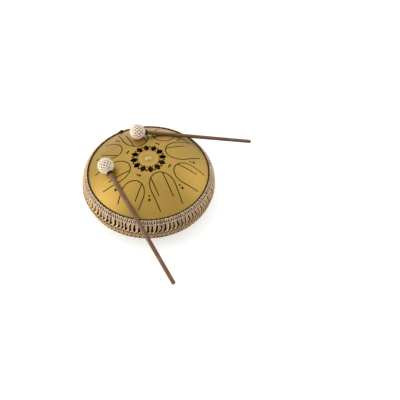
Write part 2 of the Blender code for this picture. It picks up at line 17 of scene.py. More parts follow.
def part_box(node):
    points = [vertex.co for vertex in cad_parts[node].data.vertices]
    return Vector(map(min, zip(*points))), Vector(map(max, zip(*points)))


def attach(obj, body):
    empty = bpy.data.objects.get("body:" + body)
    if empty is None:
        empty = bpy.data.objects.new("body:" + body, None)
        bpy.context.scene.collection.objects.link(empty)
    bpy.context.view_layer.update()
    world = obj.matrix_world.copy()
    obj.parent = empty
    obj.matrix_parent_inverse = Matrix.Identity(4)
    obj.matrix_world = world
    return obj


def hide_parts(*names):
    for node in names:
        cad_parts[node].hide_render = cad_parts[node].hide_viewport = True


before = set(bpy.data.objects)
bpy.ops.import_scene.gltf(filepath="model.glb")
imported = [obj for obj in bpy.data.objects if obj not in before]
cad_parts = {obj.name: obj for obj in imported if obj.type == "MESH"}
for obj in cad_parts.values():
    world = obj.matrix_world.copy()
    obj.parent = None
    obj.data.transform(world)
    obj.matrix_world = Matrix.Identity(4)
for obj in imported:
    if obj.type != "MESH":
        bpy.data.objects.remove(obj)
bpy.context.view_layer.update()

# %% [markdown]
# The picture is taken from the front, a little more than half a right angle above the
# drum. The camera was fitted to the rim's ellipse and the ring of holes, so its place
# is kept here as numbers. A lens length in millimetres only means something together
# with a sensor width, which is why both are set.

# %% Set up the camera
PICTURE_WIDTH = 400
FOCAL_LENGTH_PIXELS = 475.114
SENSOR_WIDTH = 36
CAMERA_PLACE = (0.0156416, -0.7095198, 0.9236672)
CAMERA_TURN_DEGREES = (36.44065, -3.13979, -4.50817)


def add_object(name, data):
    item = bpy.data.objects.new(name, data)
    bpy.context.scene.collection.objects.link(item)
    return item


lens = bpy.data.cameras.new("front_view")
lens.sensor_width = SENSOR_WIDTH
lens.lens = SENSOR_WIDTH * FOCAL_LENGTH_PIXELS / PICTURE_WIDTH
camera = add_object("front_view", lens)
camera.location = CAMERA_PLACE
camera.rotation_euler = [radians(turn) for turn in CAMERA_TURN_DEGREES]
bpy.context.scene.camera = camera
bpy.context.scene.view_settings.view_transform = "Standard"
print("lens", round(lens.lens, 2), "mm")

# %% [markdown]
# Materials and geometry trees are both graphs of nodes, and one helper adds a node to
# either. It takes the node's inputs as a dictionary, where a value is set on the
# socket and another node's output is linked to it. That keeps each graph readable
# from top to bottom, in the order in which the surface is worked out.


# %% Helpers that add nodes to a graph
def supply(socket, value):
    """Sets a socket to a value, or links it to another node's output."""
    if isinstance(value, bpy.types.NodeSocket):
        socket.id_data.links.new(value, socket)
    else:
        socket.default_value = value


def put(tree, kind, inputs=None, **settings):
    """Adds a node, makes its settings and supplies its inputs."""
    node = tree.nodes.new(kind)
    for name, value in settings.items():
        setattr(node, name, value)
    for name, value in (inputs or {}).items():
        supply(node.inputs[name], value)
    return node


def step(tree, kind, inputs=None, **settings):
    """Adds a node and returns its first output, which most nodes are added for."""
    return put(tree, kind, inputs, **settings).outputs[0]


def calculate(tree, operation, *values):
    return step(tree, "ShaderNodeMath", dict(enumerate(values)), operation=operation)


def product(tree, first, *others):
    for value in others:
        first = calculate(tree, "MULTIPLY", first, value)
    return first


# %% Helpers for materials
def new_finish(name):
    finish = bpy.data.materials.new(name)
    finish.use_nodes = True
    return finish, finish.node_tree


def dress(finish, **sockets):
    """Gives a material's Principled shader its values and the outputs of its graph."""
    shader = finish.node_tree.nodes["Principled BSDF"]
    for name, value in sockets.items():
        supply(shader.inputs[name.replace("_", " ")], value)
    print(finish.name, "has", len(finish.node_tree.nodes), "nodes")


def object_place(tree):
    return put(tree, "ShaderNodeTexCoord").outputs["Object"]


def colour(red, green, blue):
    """A colour as a picture editor gives it, 0 to 255, in Blender's linear values."""
    shares = [v / 255 for v in (red, green, blue)]
    linear = [s / 12.92 if s <= 0.04045 else ((s + 0.055) / 1.055) ** 2.4 for s in shares]
    return (*linear, 1)


print("colour 157, 122, 48 in linear values:", [round(v, 3) for v in colour(157, 122, 48)])

# %% [markdown]
# The drum was photographed in a plain white studio. The light here is the same: a
# pale surround, a broad lamp over the back, and one on each side, which brighten the
# dome towards its left and right edges. A low lamp at the left reaches the cord on
# the rim, which faces sideways, and hardly touches the dome. The background is white
# because the camera's own rays see white there, so no extra light falls on the drum to
# make it so. Shiny steel has to see the same white room, so mirror rays get it too.

# %% Light the studio
ROOM_LIGHT = 0.70
LAMPS_LOOK_AT = Vector((0, 0, 0.08))
SOFTBOXES = {
    # place, width, height, and brightness per area, white being 1
    "back_softbox": ((0.0, 1.0, 1.4), 2.2, 1.4, 0.5),
    "left_softbox": ((-1.25, 0.0, 1.05), 1.2, 1.2, 1.8),
    "right_softbox": ((1.3, 0.43, 0.85), 1.2, 1.2, 1.1),
    "low_left_softbox": ((-1.25, -0.38, 0.15), 0.9, 0.4, 8.0),
}


def sees_white(tree):
    """1 for rays that see a white studio, and 0 for those that light the drum."""
    ray = put(tree, "ShaderNodeLightPath").outputs
    seen = calculate(tree, "MAXIMUM", ray["Is Camera Ray"], ray["Is Glossy Ray"])
    return calculate(tree, "MAXIMUM", seen, ray["Is Transmission Ray"])


world = bpy.data.worlds.new("white_studio")
world.use_nodes = True
bpy.context.scene.world = world
room = world.node_tree
strength = {"Value": sees_white(room), "To Min": ROOM_LIGHT, "To Max": 1.0}
supply(room.nodes["Background"].inputs["Strength"], step(room, "ShaderNodeMapRange", strength))
supply(room.nodes["Background"].inputs["Color"], (1, 1, 1, 1))

for name, (place, width, height, brightness) in SOFTBOXES.items():
    lamp = bpy.data.lights.new(name, "AREA")
    lamp.shape = "RECTANGLE"
    lamp.size, lamp.size_y = width, height
    lamp.energy = brightness * pi * width * height
    holder = add_object(name, lamp)
    holder.location = place
    holder.rotation_euler = (LAMPS_LOOK_AT - Vector(place)).to_track_quat("-Z", "Y").to_euler()
    print(name, round(lamp.energy, 1), "W")

# %% [markdown]
# The floor is a large pale sheet at the height of the rubber feet. To the camera it
# glows a little, so that it is as white as the background, and it still takes the
# drum's shadow.

# %% Lay the floor
FLOOR_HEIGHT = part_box("foot_1")[0].z
FLOOR_SIZE = 6.0
FLOOR_GLOW = 0.5

floor_mesh = bpy.data.meshes.new("floor")
half = FLOOR_SIZE / 2
floor_corners = ((-half, -half), (half, -half), (half, half), (-half, half))
floor_mesh.from_pydata([(x, y, FLOOR_HEIGHT) for x, y in floor_corners], [], [(0, 1, 2, 3)])
floor = add_object("floor", floor_mesh)
studio_paper, tree = new_finish("studio_paper")
dress(
    studio_paper, Base_Color=(0.72, 0.72, 0.72, 1), Roughness=0.9, Specular_IOR_Level=0.1,
    Emission_Color=(1, 1, 1, 1), Emission_Strength=product(tree, sees_white(tree), FLOOR_GLOW),
)
floor_mesh.materials.append(studio_paper)

# %% [markdown]
# Much of the drum is turned: an outline that goes once round an axis. The helper
# makes such a mesh from (radius, height) points. A point on the axis becomes one
# pole, so the mesh has no sliver faces there, and the faces are turned outwards.


# %% Helpers for turned pieces
def add_piece(name, mesh, *finishes):
    for finish in finishes:
        mesh.materials.append(finish)
    return add_object(name, mesh)


def mesh_of(shape, name):
    """The mesh of a bmesh, with its faces turned outwards."""
    bmesh.ops.recalc_face_normals(shape, faces=shape.faces)
    mesh = bpy.data.meshes.new(name)
    shape.to_mesh(mesh)
    shape.free()
    return mesh


def turned_mesh(name, outline, steps, closed=False):
    """The mesh of an outline turned round Z. A closed outline makes a ring."""
    shape = bmesh.new()
    turns = [2 * pi * i / steps for i in range(steps)]
    rings = []
    for radius, height in outline:
        if radius == 0:
            rings.append([shape.verts.new((0, 0, height))] * steps)
        else:
            spots = [(radius * cos(t), radius * sin(t), height) for t in turns]
            rings.append([shape.verts.new(spot) for spot in spots])
    pairs = list(zip(rings, rings[1:])) + ([(rings[-1], rings[0])] if closed else [])
    for upper, lower in pairs:
        for i in range(steps):
            corners = (upper[i - 1], lower[i - 1], lower[i], upper[i])
            shape.faces.new(list(dict.fromkeys(corners)))
    for face in shape.faces:
        face.smooth = True
    return mesh_of(shape, name)


def part_of(piece, body, slot, *nodes):
    """The piece rides on the body and stands for the nodes, which are hidden. The slot is not
    used.
    """
    if nodes:
        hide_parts(*nodes)
    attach(piece, body)
    faces = sum(face.loop_total - 2 for face in piece.data.polygons)
    print(piece.name, "on", body, "has", faces, "triangles")


# %% [markdown]
# The upper shell is pressed from one sheet of steel. Its dome rises in a curve that is
# nearly flat in the middle and steepens to its edge, turns over a rounded shoulder, and
# runs down the side to the seam. A disc could be pulled into that form by eye, but a
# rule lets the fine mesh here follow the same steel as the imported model, point for
# point.

# %% The dome's curve
PLATE_RADIUS = 0.138
PLATE_EDGE_Z = 0.078
DOME_RISE = 0.0418
DOME_FULLNESS = 2.65


def dome_z(radius):
    return PLATE_EDGE_Z + DOME_RISE * (1 - (radius / PLATE_RADIUS) ** DOME_FULLNESS)


def dome_slope(radius):
    share = radius / PLATE_RADIUS
    return atan(DOME_RISE * DOME_FULLNESS / PLATE_RADIUS * share ** (DOME_FULLNESS - 1))


print("the dome meets its edge at", round(degrees(dome_slope(PLATE_RADIUS)), 1), "degrees")

# %% The upper shell's outline
BOSS_RADIUS, BOSS_HEIGHT, BOSS_FULLNESS = 0.0085, 0.0042, 1.1
SHOULDER_INSET, SHOULDER_RADIUS = 0.001, 0.009
UPPER_SIDE_SLOPE = radians(78)
SEAM_Z = 0.046


def turning_path(start, radius, slope_from, slope_to, count):
    """Points after start on an arc whose downward slope turns from one to the other."""
    r, z = start
    return [
        (r + radius * (sin(s) - sin(slope_from)), z - radius * (cos(slope_from) - cos(s)))
        for s in np.linspace(slope_from, slope_to, count + 1)[1:]
    ]


def upper_outline():
    """Boss, dome, shoulder and side, from the middle outwards and down."""
    boss = []
    for t in np.linspace(0, pi / 2, 16):
        rise = BOSS_HEIGHT * max(cos(t), 0) ** BOSS_FULLNESS
        boss.append((BOSS_RADIUS * sin(t), dome_z(0) + rise))
    outer = PLATE_RADIUS - SHOULDER_INSET
    dome = [(r, dome_z(r)) for r in np.linspace(BOSS_RADIUS, outer, 46)[1:]]
    shoulder = turning_path(
        dome[-1], SHOULDER_RADIUS, dome_slope(outer), UPPER_SIDE_SLOPE, count=12
    )
    r, z = shoulder[-1]
    heights = np.linspace(z, SEAM_Z, 6)[1:]
    return boss + dome + shoulder + [(r + (z - h) / tan(UPPER_SIDE_SLOPE), h) for h in heights]


upper = upper_outline()
print(len(upper), "points; seam radius", round(upper[-1][0] * 1000, 1), "mm")

# %% Turn the upper shell
SHEET = 0.002


def square_to(line):
    """Unit vectors square to a line, on its left: outwards, on an outline."""
    along = np.gradient(np.array(line), axis=0)
    along /= np.linalg.norm(along, axis=1)[:, None]
    return np.stack([-along[:, 1], along[:, 0]], axis=1)


def moved_outline(outline, distance):
    """The outline moved square to itself, outwards for a positive distance."""
    return [tuple(p) for p in np.array(outline) + distance * square_to(outline)]


gold, gold_tree = new_finish("gold_lacquer")
upper_inside = moved_outline(upper, -SHEET)
upper_inside[0] = (0, upper_inside[0][1])
upper_mesh = turned_mesh("upper_steel", upper + upper_inside[::-1], steps=288)
upper_steel = add_piece("upper_steel", upper_mesh, gold)
print(len(upper_mesh.polygons), "faces")

# %% [markdown]
# Eight tongues are slit into the dome, long and short by turns. Each is a nose of
# half an ellipse with two nearly straight sides, and one or two tuning slits start on
# its nose. On the real drum a laser cuts them after pressing. Here every slit is a
# thin upright wall in plan, and a Boolean takes it out of the steel. The walls bring
# their own material, so the cut edges can be told from the lacquered skin.

# %% The tongues' measures
SLIT = 0.0018
TONGUE_STEP = radians(45)
FIRST_TONGUE = radians(-67.5)
LONG_NOSE, SHORT_NOSE = 0.036, 0.031
ROOT_TAPER = 0.0020
TONGUES = (
    # tip, half width, nose, margin at the rim, then (offset, margin) of tuning slits
    (0.044, 0.0280, LONG_NOSE, 0.014, ((0.0120, 0.032), (-0.0170, 0.043))),
    (0.062, 0.0268, SHORT_NOSE, 0.012, ((0.0115, 0.027),)),
    (0.044, 0.0285, LONG_NOSE, 0.020, ((0.0135, 0.041),)),
    (0.064, 0.0255, SHORT_NOSE, 0.016, ((0.0122, 0.036),)),
    (0.044, 0.0288, LONG_NOSE, 0.018, ((0.0147, 0.034), (-0.0170, 0.043))),
    (0.066, 0.0258, SHORT_NOSE, 0.018, ((0.0122, 0.027),)),
    (0.045, 0.0275, LONG_NOSE, 0.019, ((0.0137, 0.037),)),
    (0.065, 0.0256, SHORT_NOSE, 0.017, ((0.0115, 0.031),)),
)
print("the tips stand", [round(row[0] * 1000) for row in TONGUES], "mm from the middle")


# %% The slits' outlines
def turned_plan(points, angle):
    c, s = cos(angle), sin(angle)
    return [(x * c - y * s, x * s + y * c) for x, y in points]


def slit_outline(line):
    """A closed outline as wide as a slit along an open line, both as (x, y)."""
    points, side = np.array(line), square_to(line) * SLIT / 2
    return [tuple(p) for p in points + side] + [tuple(p) for p in (points - side)[::-1]]


def tongue_line(tip, half_width, nose, margin):
    widest, root = tip + nose, PLATE_RADIUS - margin
    turns = np.linspace(-pi / 2, pi / 2, 41)
    arc = [(widest - nose * cos(t), half_width * sin(t)) for t in turns]
    sides = np.linspace(root, widest, 12)[:-1]
    taper = [half_width - ROOT_TAPER * (x - widest) / (root - widest) for x in sides]
    right = [(x, -y) for x, y in zip(sides, taper)]
    return right + arc + [(x, -y) for x, y in right[::-1]]


tongue_outlines, tuning_outlines = [], []
for k, (tip, half_width, nose, margin, tuning_slits) in enumerate(TONGUES):
    angle = FIRST_TONGUE + k * TONGUE_STEP
    line = tongue_line(tip, half_width, nose, margin)
    tongue_outlines.append(turned_plan(slit_outline(line), angle))
    for offset, slit_margin in tuning_slits:
        start = tip + nose - nose * sqrt(1 - (offset / half_width) ** 2)
        line = [(x, offset) for x in np.linspace(start, PLATE_RADIUS - slit_margin, 9)]
        tuning_outlines.append(turned_plan(slit_outline(line), angle))
print(len(tongue_outlines), "tongue slits,", len(tuning_outlines), "tuning slits")

# %% [markdown]
# A large and a small round hole stand between each two tongues, and two pips stand
# before the tip of each short one. Round the middle twelve leaves with dots between
# them make a flower, a pattern that drums of this kind have had for long. All of them
# are outlines in plan, like the slits, so one list of them goes to one cutter.

# %% The round holes and the pips
# Each hole is (distance from the middle, radius), and each pip is (turn, radius).
HOLES = ((0.1025, 0.0028), (0.0945, 0.0019))
PIP_RING = 0.051
PIPS = ((0, 0.0025), (-0.0054 / PIP_RING, 0.0020))


def circle(radius, angle, size, sides=20):
    x, y = radius * cos(angle), radius * sin(angle)
    turns = [2 * pi * i / sides for i in range(sides)]
    return [(x + size * cos(t), y + size * sin(t)) for t in turns]


hole_outlines = []
for k in range(len(TONGUES)):
    hole_outlines += [circle(ring, k * TONGUE_STEP, size) for ring, size in HOLES]
for k in range(1, len(TONGUES), 2):
    axis = FIRST_TONGUE + k * TONGUE_STEP
    hole_outlines += [circle(PIP_RING, axis + turn, size) for turn, size in PIPS]
print(len(hole_outlines), "holes and pips")

# %% The flower
# Each dot is (distance from the middle, radius).
LEAVES = 12
LEAF_PHASE = radians(7.5)
LEAF_INNER, LEAF_WIDEST, LEAF_OUTER = 0.0224, 0.0320, 0.0411
LEAF_HALF_WIDTH = 0.0067
FLOWER_DOTS = ((0.0354, 0.0022), (0.0256, 0.0016))


def leaf_outline(angle):
    """Two bowed sides that meet in a point at both ends."""
    upper_side = []
    for x in np.linspace(LEAF_INNER, LEAF_OUTER, 25):
        if x < LEAF_WIDEST:
            share = (x - LEAF_INNER) / (LEAF_WIDEST - LEAF_INNER)
        else:
            share = (LEAF_OUTER - x) / (LEAF_OUTER - LEAF_WIDEST)
        bow = (share + 2 * sin(share * pi / 2)) / 3
        upper_side.append((x, LEAF_HALF_WIDTH * bow))
    lower_side = [(x, -y) for x, y in upper_side[-2:0:-1]]
    return turned_plan(upper_side + lower_side, angle)


for k in range(LEAVES):
    angle = LEAF_PHASE + 2 * pi * k / LEAVES
    hole_outlines.append(leaf_outline(angle))
    hole_outlines += [circle(ring, angle + pi / LEAVES, size) for ring, size in FLOWER_DOTS]
print(len(hole_outlines), "pierced shapes")

# %% [markdown]
# A laser leaves a sharp lip, and the maker files it back until it is smooth to the
# touch. Each cutter is therefore a prism with a flared top: it keeps the slit's width
# through the sheet and opens at half a right angle just under the dome. The flare
# follows the dome's height, so the filed lip has one width everywhere.


# %% Helpers for flared cutters
def swollen(outline, margin):
    """A closed plan outline, moved outwards by a margin."""
    points = np.array(outline)
    after, before = np.roll(points, -1, axis=0), np.roll(points, 1, axis=0)
    along = (after - before) / np.linalg.norm(after - before, axis=1)[:, None]
    turning = np.sign((points[:, 0] * after[:, 1] - points[:, 1] * after[:, 0]).sum())
    outward = turning * np.stack([along[:, 1], -along[:, 0]], axis=1)
    return points + margin * outward


def add_prism(shape, levels):
    """Adds a closed solid through closed lines that have as many points each."""
    rings = [[shape.verts.new(point) for point in level] for level in levels]
    for low, high in zip(rings, rings[1:]):
        for i in range(len(low)):
            shape.faces.new((low[i - 1], low[i], high[i], high[i - 1]))
    shape.faces.new(rings[-1])
    shape.faces.new(rings[0][::-1])


def cutter_mesh(outlines, bottom, top, lip=0):
    """Upright prisms on closed outlines, each flared where it meets the dome."""
    shape = bmesh.new()
    for outline in outlines:
        narrow = wide = np.array(outline)
        levels = [[(x, y, bottom) for x, y in narrow]]
        if lip:
            wide = swollen(narrow, 2 * lip)
            skin = [dome_z(np.hypot(x, y)) for x, y in narrow]
            levels.append([(x, y, z - lip) for (x, y), z in zip(narrow, skin)])
            levels.append([(x, y, z + lip) for (x, y), z in zip(wide, skin)])
        levels.append([(x, y, top) for x, y in wide])
        add_prism(shape, levels)
    return mesh_of(shape, "cutter")


# %% Cut the slits and holes out of the steel
def plain_mesh(piece, name):
    """The mesh that the piece's modifiers make, on its own."""
    view = bpy.context.evaluated_depsgraph_get()
    mesh = bpy.data.meshes.new_from_object(piece.evaluated_get(view), depsgraph=view)
    mesh.name = name
    return mesh


def cut_out(piece, mesh, finish):
    """Takes the cutter's mesh out of the piece. The cut walls get the finish."""
    cutter = add_piece("cutter", mesh, finish)
    boolean = piece.modifiers.new("cut", "BOOLEAN")
    boolean.solver = "EXACT"
    boolean.material_mode = "TRANSFER"
    boolean.object = cutter
    piece.data = plain_mesh(piece, piece.name)
    piece.modifiers.clear()
    bpy.data.objects.remove(cutter)


LIP, SMALL_LIP = 0.00025, 0.00012
SPARE = 0.01

cut_edge, cut_tree = new_finish("cut_steel_edge")
for outlines, lip in ((tongue_outlines, LIP), (tuning_outlines, LIP), (hole_outlines, SMALL_LIP)):
    cut_out(upper_steel, cutter_mesh(outlines, SEAM_Z, dome_z(0) + SPARE, lip), cut_edge)
print(len(upper_steel.data.polygons), "faces after cutting")

# %% [markdown]
# The Boolean leaves long thin faces round each slit, and smooth shading over them
# would show as dents in a mirror-like lacquer. The true outline is known, so each
# corner gets the outline's own direction as its normal. Cut walls keep their flat
# face direction, which keeps the slits' edges crisp.


# %% The outline's direction at any place
def outline_normals(radii, heights, outline):
    """The outline's outward direction nearest each (radius, height)."""
    points, outward = np.array(outline), square_to(outline)
    starts, runs = points[:-1], np.diff(points, axis=0)
    spots = np.stack([radii, heights], axis=1)
    away = spots[:, None] - starts[None]
    share = np.clip((away * runs).sum(2) / (runs * runs).sum(1), 0, 1)
    distance = np.linalg.norm(away - share[..., None] * runs, axis=2)
    nearest = distance.argmin(axis=1)
    part = share[np.arange(len(spots)), nearest][:, None]
    mixed = outward[nearest] * (1 - part) + outward[nearest + 1] * part
    return mixed / np.linalg.norm(mixed, axis=1)[:, None]


sample = outline_normals([PLATE_RADIUS / 2], [dome_z(PLATE_RADIUS / 2)], upper)
print("half way out the steel faces", sample[0].round(3), "outwards and up")


# %% Give the steel the outline's own normals
def vertex_places(mesh):
    """The places of a mesh's points, one row for each."""
    places = np.empty(len(mesh.vertices) * 3)
    mesh.vertices.foreach_get("co", places)
    return places.reshape(-1, 3)


def shade_by_outline(piece, outline):
    mesh = piece.data
    places = vertex_places(mesh)
    radii = np.hypot(places[:, 0], places[:, 1])
    flat = outline_normals(radii, places[:, 2], outline)
    turns = places[:, :2] / np.maximum(radii, 1e-9)[:, None]
    rule = np.column_stack([turns * flat[:, :1], flat[:, 1]])
    corner_verts = np.empty(len(mesh.loops), int)
    mesh.loops.foreach_get("vertex_index", corner_verts)
    normals = rule[corner_verts]
    walls = {i for i, m in enumerate(mesh.materials) if m == cut_edge}
    for face in mesh.polygons:
        corners = slice(face.loop_start, face.loop_start + face.loop_total)
        own = np.array(face.normal)
        side = own @ normals[corners].mean(axis=0)
        if face.material_index in walls or abs(side) < 0.5:
            normals[corners] = own
        elif side < 0:
            normals[corners] *= -1
    mesh.polygons.foreach_set("use_smooth", [True] * len(mesh.polygons))
    mesh.normals_split_custom_set([tuple(n) for n in normals])


shade_by_outline(upper_steel, upper)
part_of(upper_steel, "drum", "gold_lacquered_steel", "top_shell")

# %% [markdown]
# The skin is a satin gold lacquer over steel. It has a slight cloudiness from the
# spraying and a fine grain, and a clear coat that gives the paler sheen towards the
# sides. Round the boss a ring of short rays is engraved. All of it is worked out from
# the Object coordinates, which are true distances on the drum, so nothing depends on
# how the mesh was unwrapped. A painted picture would do the same job for one drum
# size only.


# %% Helpers for patterns
def blended(tree, share, first, second):
    """A colour between two, by a share from 0 to 1."""
    node = put(tree, "ShaderNodeMix", {0: share, 6: first, 7: second}, data_type="RGBA")
    return node.outputs[2]


def noise(tree, place, scale, detail=2.0, roughness=0.5):
    inputs = {"Vector": place, "Scale": scale, "Detail": detail, "Roughness": roughness}
    return put(tree, "ShaderNodeTexNoise", inputs).outputs["Fac"]


def spread(tree, value, low, high, out_low=0.0, out_high=1.0):
    """Maps low..high to out_low..out_high, smoothly and without going past them."""
    limits = {
        "Value": value, "From Min": low, "From Max": high,
        "To Min": out_low, "To Max": out_high,
    }
    return step(tree, "ShaderNodeMapRange", limits, interpolation_type="SMOOTHSTEP")


def bump(tree, height, distance, strength=1.0, normal=None):
    inputs = {"Height": height, "Distance": distance, "Strength": strength}
    if normal is not None:
        inputs["Normal"] = normal
    return step(tree, "ShaderNodeBump", inputs)


# %% The lacquer's clouds and grain
DEEP_GOLD, PALE_GOLD, GOLD_GRAIN = colour(150, 118, 44), colour(163, 130, 54), colour(175, 143, 66)

tree = gold_tree
place = object_place(tree)
cloud = noise(tree, place, 16, 4, 0.6)
grain = noise(tree, place, 1400, 2, 0.6)
skin = blended(tree, spread(tree, cloud, 0.3, 0.7), DEEP_GOLD, PALE_GOLD)
skin = blended(tree, spread(tree, grain, 0.35, 0.75), skin, GOLD_GRAIN)
rough = calculate(tree, "MULTIPLY_ADD", cloud, 0.14, 0.38)
normal = bump(tree, grain, 0.00006, 0.35)

# %% The engraved rays and the polished boss
ENGRAVED_RAYS = 44
RAYS_FROM, RAYS_TO, POLISHED_TO = (0.0145, 0.0152), (0.0208, 0.0200), (0.0088, 0.0080)
BARE_STEEL, POLISHED_STEEL = colour(206, 170, 122), colour(200, 180, 140)

x, y, z = put(tree, "ShaderNodeSeparateXYZ", {0: place}).outputs
flat = step(tree, "ShaderNodeCombineXYZ", {"X": x, "Y": y})
radius = put(tree, "ShaderNodeVectorMath", {0: flat}, operation="LENGTH").outputs["Value"]
on_top = spread(tree, z, 0.10, 0.11)
angle = calculate(tree, "ARCTAN2", y, x)
rays = spread(tree, calculate(tree, "COSINE", product(tree, angle, ENGRAVED_RAYS)), 0.1, 0.7)
band = product(tree, spread(tree, radius, *RAYS_FROM), spread(tree, radius, *RAYS_TO))
engraved = product(tree, rays, band, on_top)
polished = product(tree, spread(tree, radius, *POLISHED_TO), on_top)
skin = blended(tree, product(tree, engraved, 0.5), skin, BARE_STEEL)
skin = blended(tree, product(tree, polished, 0.35), skin, POLISHED_STEEL)
rough = calculate(tree, "SUBTRACT", rough, product(tree, polished, 0.08))
normal = bump(tree, engraved, -0.00015, 0.8, normal)
dress(
    gold, Base_Color=skin, Metallic=0.82, Roughness=rough, Coat_Weight=0.18,
    Coat_Roughness=0.32, Normal=normal,
)

# %% [markdown]
# A laser burns the steel that it cuts, so the walls of the slits are nearly black. In
# the picture they draw the slits' thin dark lines, which bare or gold walls wouldn't.

# %% The cut edges
soot = spread(cut_tree, noise(cut_tree, object_place(cut_tree), 700, 3), 0.35, 0.7)
scorched = blended(cut_tree, soot, colour(16, 10, 5), colour(44, 29, 14))
dress(cut_edge, Base_Color=scorched, Roughness=0.8, Specular_IOR_Level=0.2)

# %% [markdown]
# The lower shell is a bowl with a flat base disc. It is guessed from what such drums
# have, because only the upper side can be seen. It is turned from the same rule as the
# packed shell, with a hole through the disc for each foot's screw.

# %% The lower shell's outline
GAP = 0.0003
BASE_RADIUS = 0.070
KNUCKLE_RADIUS = 0.026
LOWER_SIDE_SLOPE, CONE_SLOPE = radians(105), radians(168)


def lower_outline():
    """Side, rounded knuckle, cone and base disc, from the seam down and inwards."""
    seam_radius, seam_z = upper[-1][0], SEAM_Z - GAP
    inwards = KNUCKLE_RADIUS * (sin(LOWER_SIDE_SLOPE) - sin(CONE_SLOPE))
    down = KNUCKLE_RADIUS * (cos(LOWER_SIDE_SLOPE) - cos(CONE_SLOPE))
    closing = (
        (sin(LOWER_SIDE_SLOPE), sin(CONE_SLOPE)),
        (-cos(LOWER_SIDE_SLOPE), -cos(CONE_SLOPE)),
    )
    side, _ = np.linalg.solve(closing, (seam_z - down, seam_radius - BASE_RADIUS - inwards))
    start = (seam_radius + side * cos(LOWER_SIDE_SLOPE), seam_z - side * sin(LOWER_SIDE_SLOPE))
    knuckle = turning_path(start, KNUCKLE_RADIUS, LOWER_SIDE_SLOPE, CONE_SLOPE, count=14)
    disc = [(r, 0.0) for r in np.linspace(BASE_RADIUS, 0, 9)]
    return [(seam_radius, seam_z), start] + knuckle + disc


lower = lower_outline()
print(len(lower), "points;", round((lower[0][1] - lower[-1][1]) * 1000, 1), "mm deep")

# %% Turn the lower shell
FEET = (1, 2, 3, 4)
FOOT_CIRCLE, FOOT_PHASE = 0.056, radians(45)
SCREW_HOLE = 0.0023

lower_inside = moved_outline(lower, -SHEET)
lower_inside[-1] = (0, SHEET)
lower_mesh = turned_mesh("lower_steel", lower_inside[::-1] + lower, steps=192)
lower_steel = add_piece("lower_steel", lower_mesh, gold)
foot_turns = [FOOT_PHASE + 2 * pi * k / len(FEET) for k in range(len(FEET))]
screw_holes = [circle(FOOT_CIRCLE, turn, SCREW_HOLE) for turn in foot_turns]
cut_out(lower_steel, cutter_mesh(screw_holes, -SPARE, SPARE), cut_edge)
part_of(lower_steel, "drum", "gold_lacquered_steel", "bottom_shell")

# %% [markdown]
# Behind the cord net a padded band of black felt fills the rim's bulge. It is what
# shows as black through the net's gaps, and it keeps the net from slipping. Its
# outside follows the net's own bulge: about 5 mm further in over most of the height,
# and close behind the cord at the foot.

# %% The net's outside and the steel behind it
BULGE = 0.017
BULGE_HALF_HEIGHT = 0.0312


def net_outside(z):
    """The radius of the net's bulged outside at a height."""
    share = np.clip((z - SEAM_Z) / BULGE_HALF_HEIGHT, -1, 1)
    return PLATE_RADIUS + BULGE * np.sqrt(1 - share**2)


side_line = [point for point in upper if point[1] < PLATE_EDGE_Z]
steel_line = np.array(moved_outline(side_line + lower[1:], GAP))


def steel_radius(z):
    return float(np.interp(z, steel_line[::-1, 1], steel_line[::-1, 0]))


room_for_felt = net_outside(SEAM_Z) - steel_radius(SEAM_Z)
print("at the seam there is", round(room_for_felt * 1000, 1), "mm behind the net's outside")

# %% Turn the felt band
# Each depth is (height, distance from the net's outside to the felt).
FELT_DEPTHS = ((0.0244, 0.0011), (0.0300, 0.0024), (0.0500, 0.0052))
FELT_TOP, FELT_FOOT = 0.0777, 0.0238
THINNEST_FELT = 0.0012

heights = np.linspace(FELT_TOP, FELT_FOOT, 30)
felt_depths = np.interp(heights, *zip(*FELT_DEPTHS))
felt_outside = [
    (max(steel_radius(z) + THINNEST_FELT, net_outside(z) - depth), z)
    for z, depth in zip(heights, felt_depths)
]
felt_inside = [(steel_radius(z), z) for z in heights[::-1]]
black_felt, _ = new_finish("black_felt")
dress(black_felt, Base_Color=colour(18, 16, 15), Roughness=0.95, Specular_IOR_Level=0.1)
felt_mesh = turned_mesh("felt_band", felt_outside + felt_inside, steps=200, closed=True)
felt_band = add_piece("felt_band", felt_mesh, black_felt)
part_of(felt_band, "drum", "black_felt", "rim_liner")

# %% [markdown]
# Cord, yarn and thread are all the same thing at different sizes: a few plies laid
# round each other. One Geometry Nodes tree makes any of them along any path. It
# sweeps a lobed section along the path and lets the section turn as it goes, so the
# plies spiral as real ones do. The turns are rounded to whole plies, so that a closed
# ring meets itself without a step.


# %% Helpers for geometry trees
def new_tree(name, **inputs):
    """A geometry tree with a named input for each value, and its two end nodes."""
    tree = bpy.data.node_groups.new(name, "GeometryNodeTree")
    ports = tree.interface
    ports.new_socket("Geometry", in_out="INPUT", socket_type="NodeSocketGeometry")
    ports.new_socket("Geometry", in_out="OUTPUT", socket_type="NodeSocketGeometry")
    for title, value in inputs.items():
        kind = "NodeSocketInt" if isinstance(value, int) else "NodeSocketFloat"
        socket = ports.new_socket(title, in_out="INPUT", socket_type=kind)
        socket.default_value = value
    start = tree.nodes.new("NodeGroupInput").outputs
    end = tree.nodes.new("NodeGroupOutput").inputs[0]
    return tree, start, end


def finished(tree, geometry, finish, end):
    """The tree's last steps, so that its copies and its material are in the mesh."""
    geometry = step(tree, "GeometryNodeRealizeInstances", {"Geometry": geometry})
    supply(end, step(tree, "GeometryNodeSetMaterial", {"Geometry": geometry, "Material": finish}))


def moved_to(tree, geometry, place):
    return step(tree, "GeometryNodeSetPosition", {"Geometry": geometry, "Position": place})


def stored(tree, geometry, name, value, domain="POINT"):
    """Stores a value on the geometry under a name that a material can read."""
    inputs = {"Geometry": geometry, "Name": name, "Value": value}
    return step(tree, "GeometryNodeStoreNamedAttribute", inputs, domain=domain)


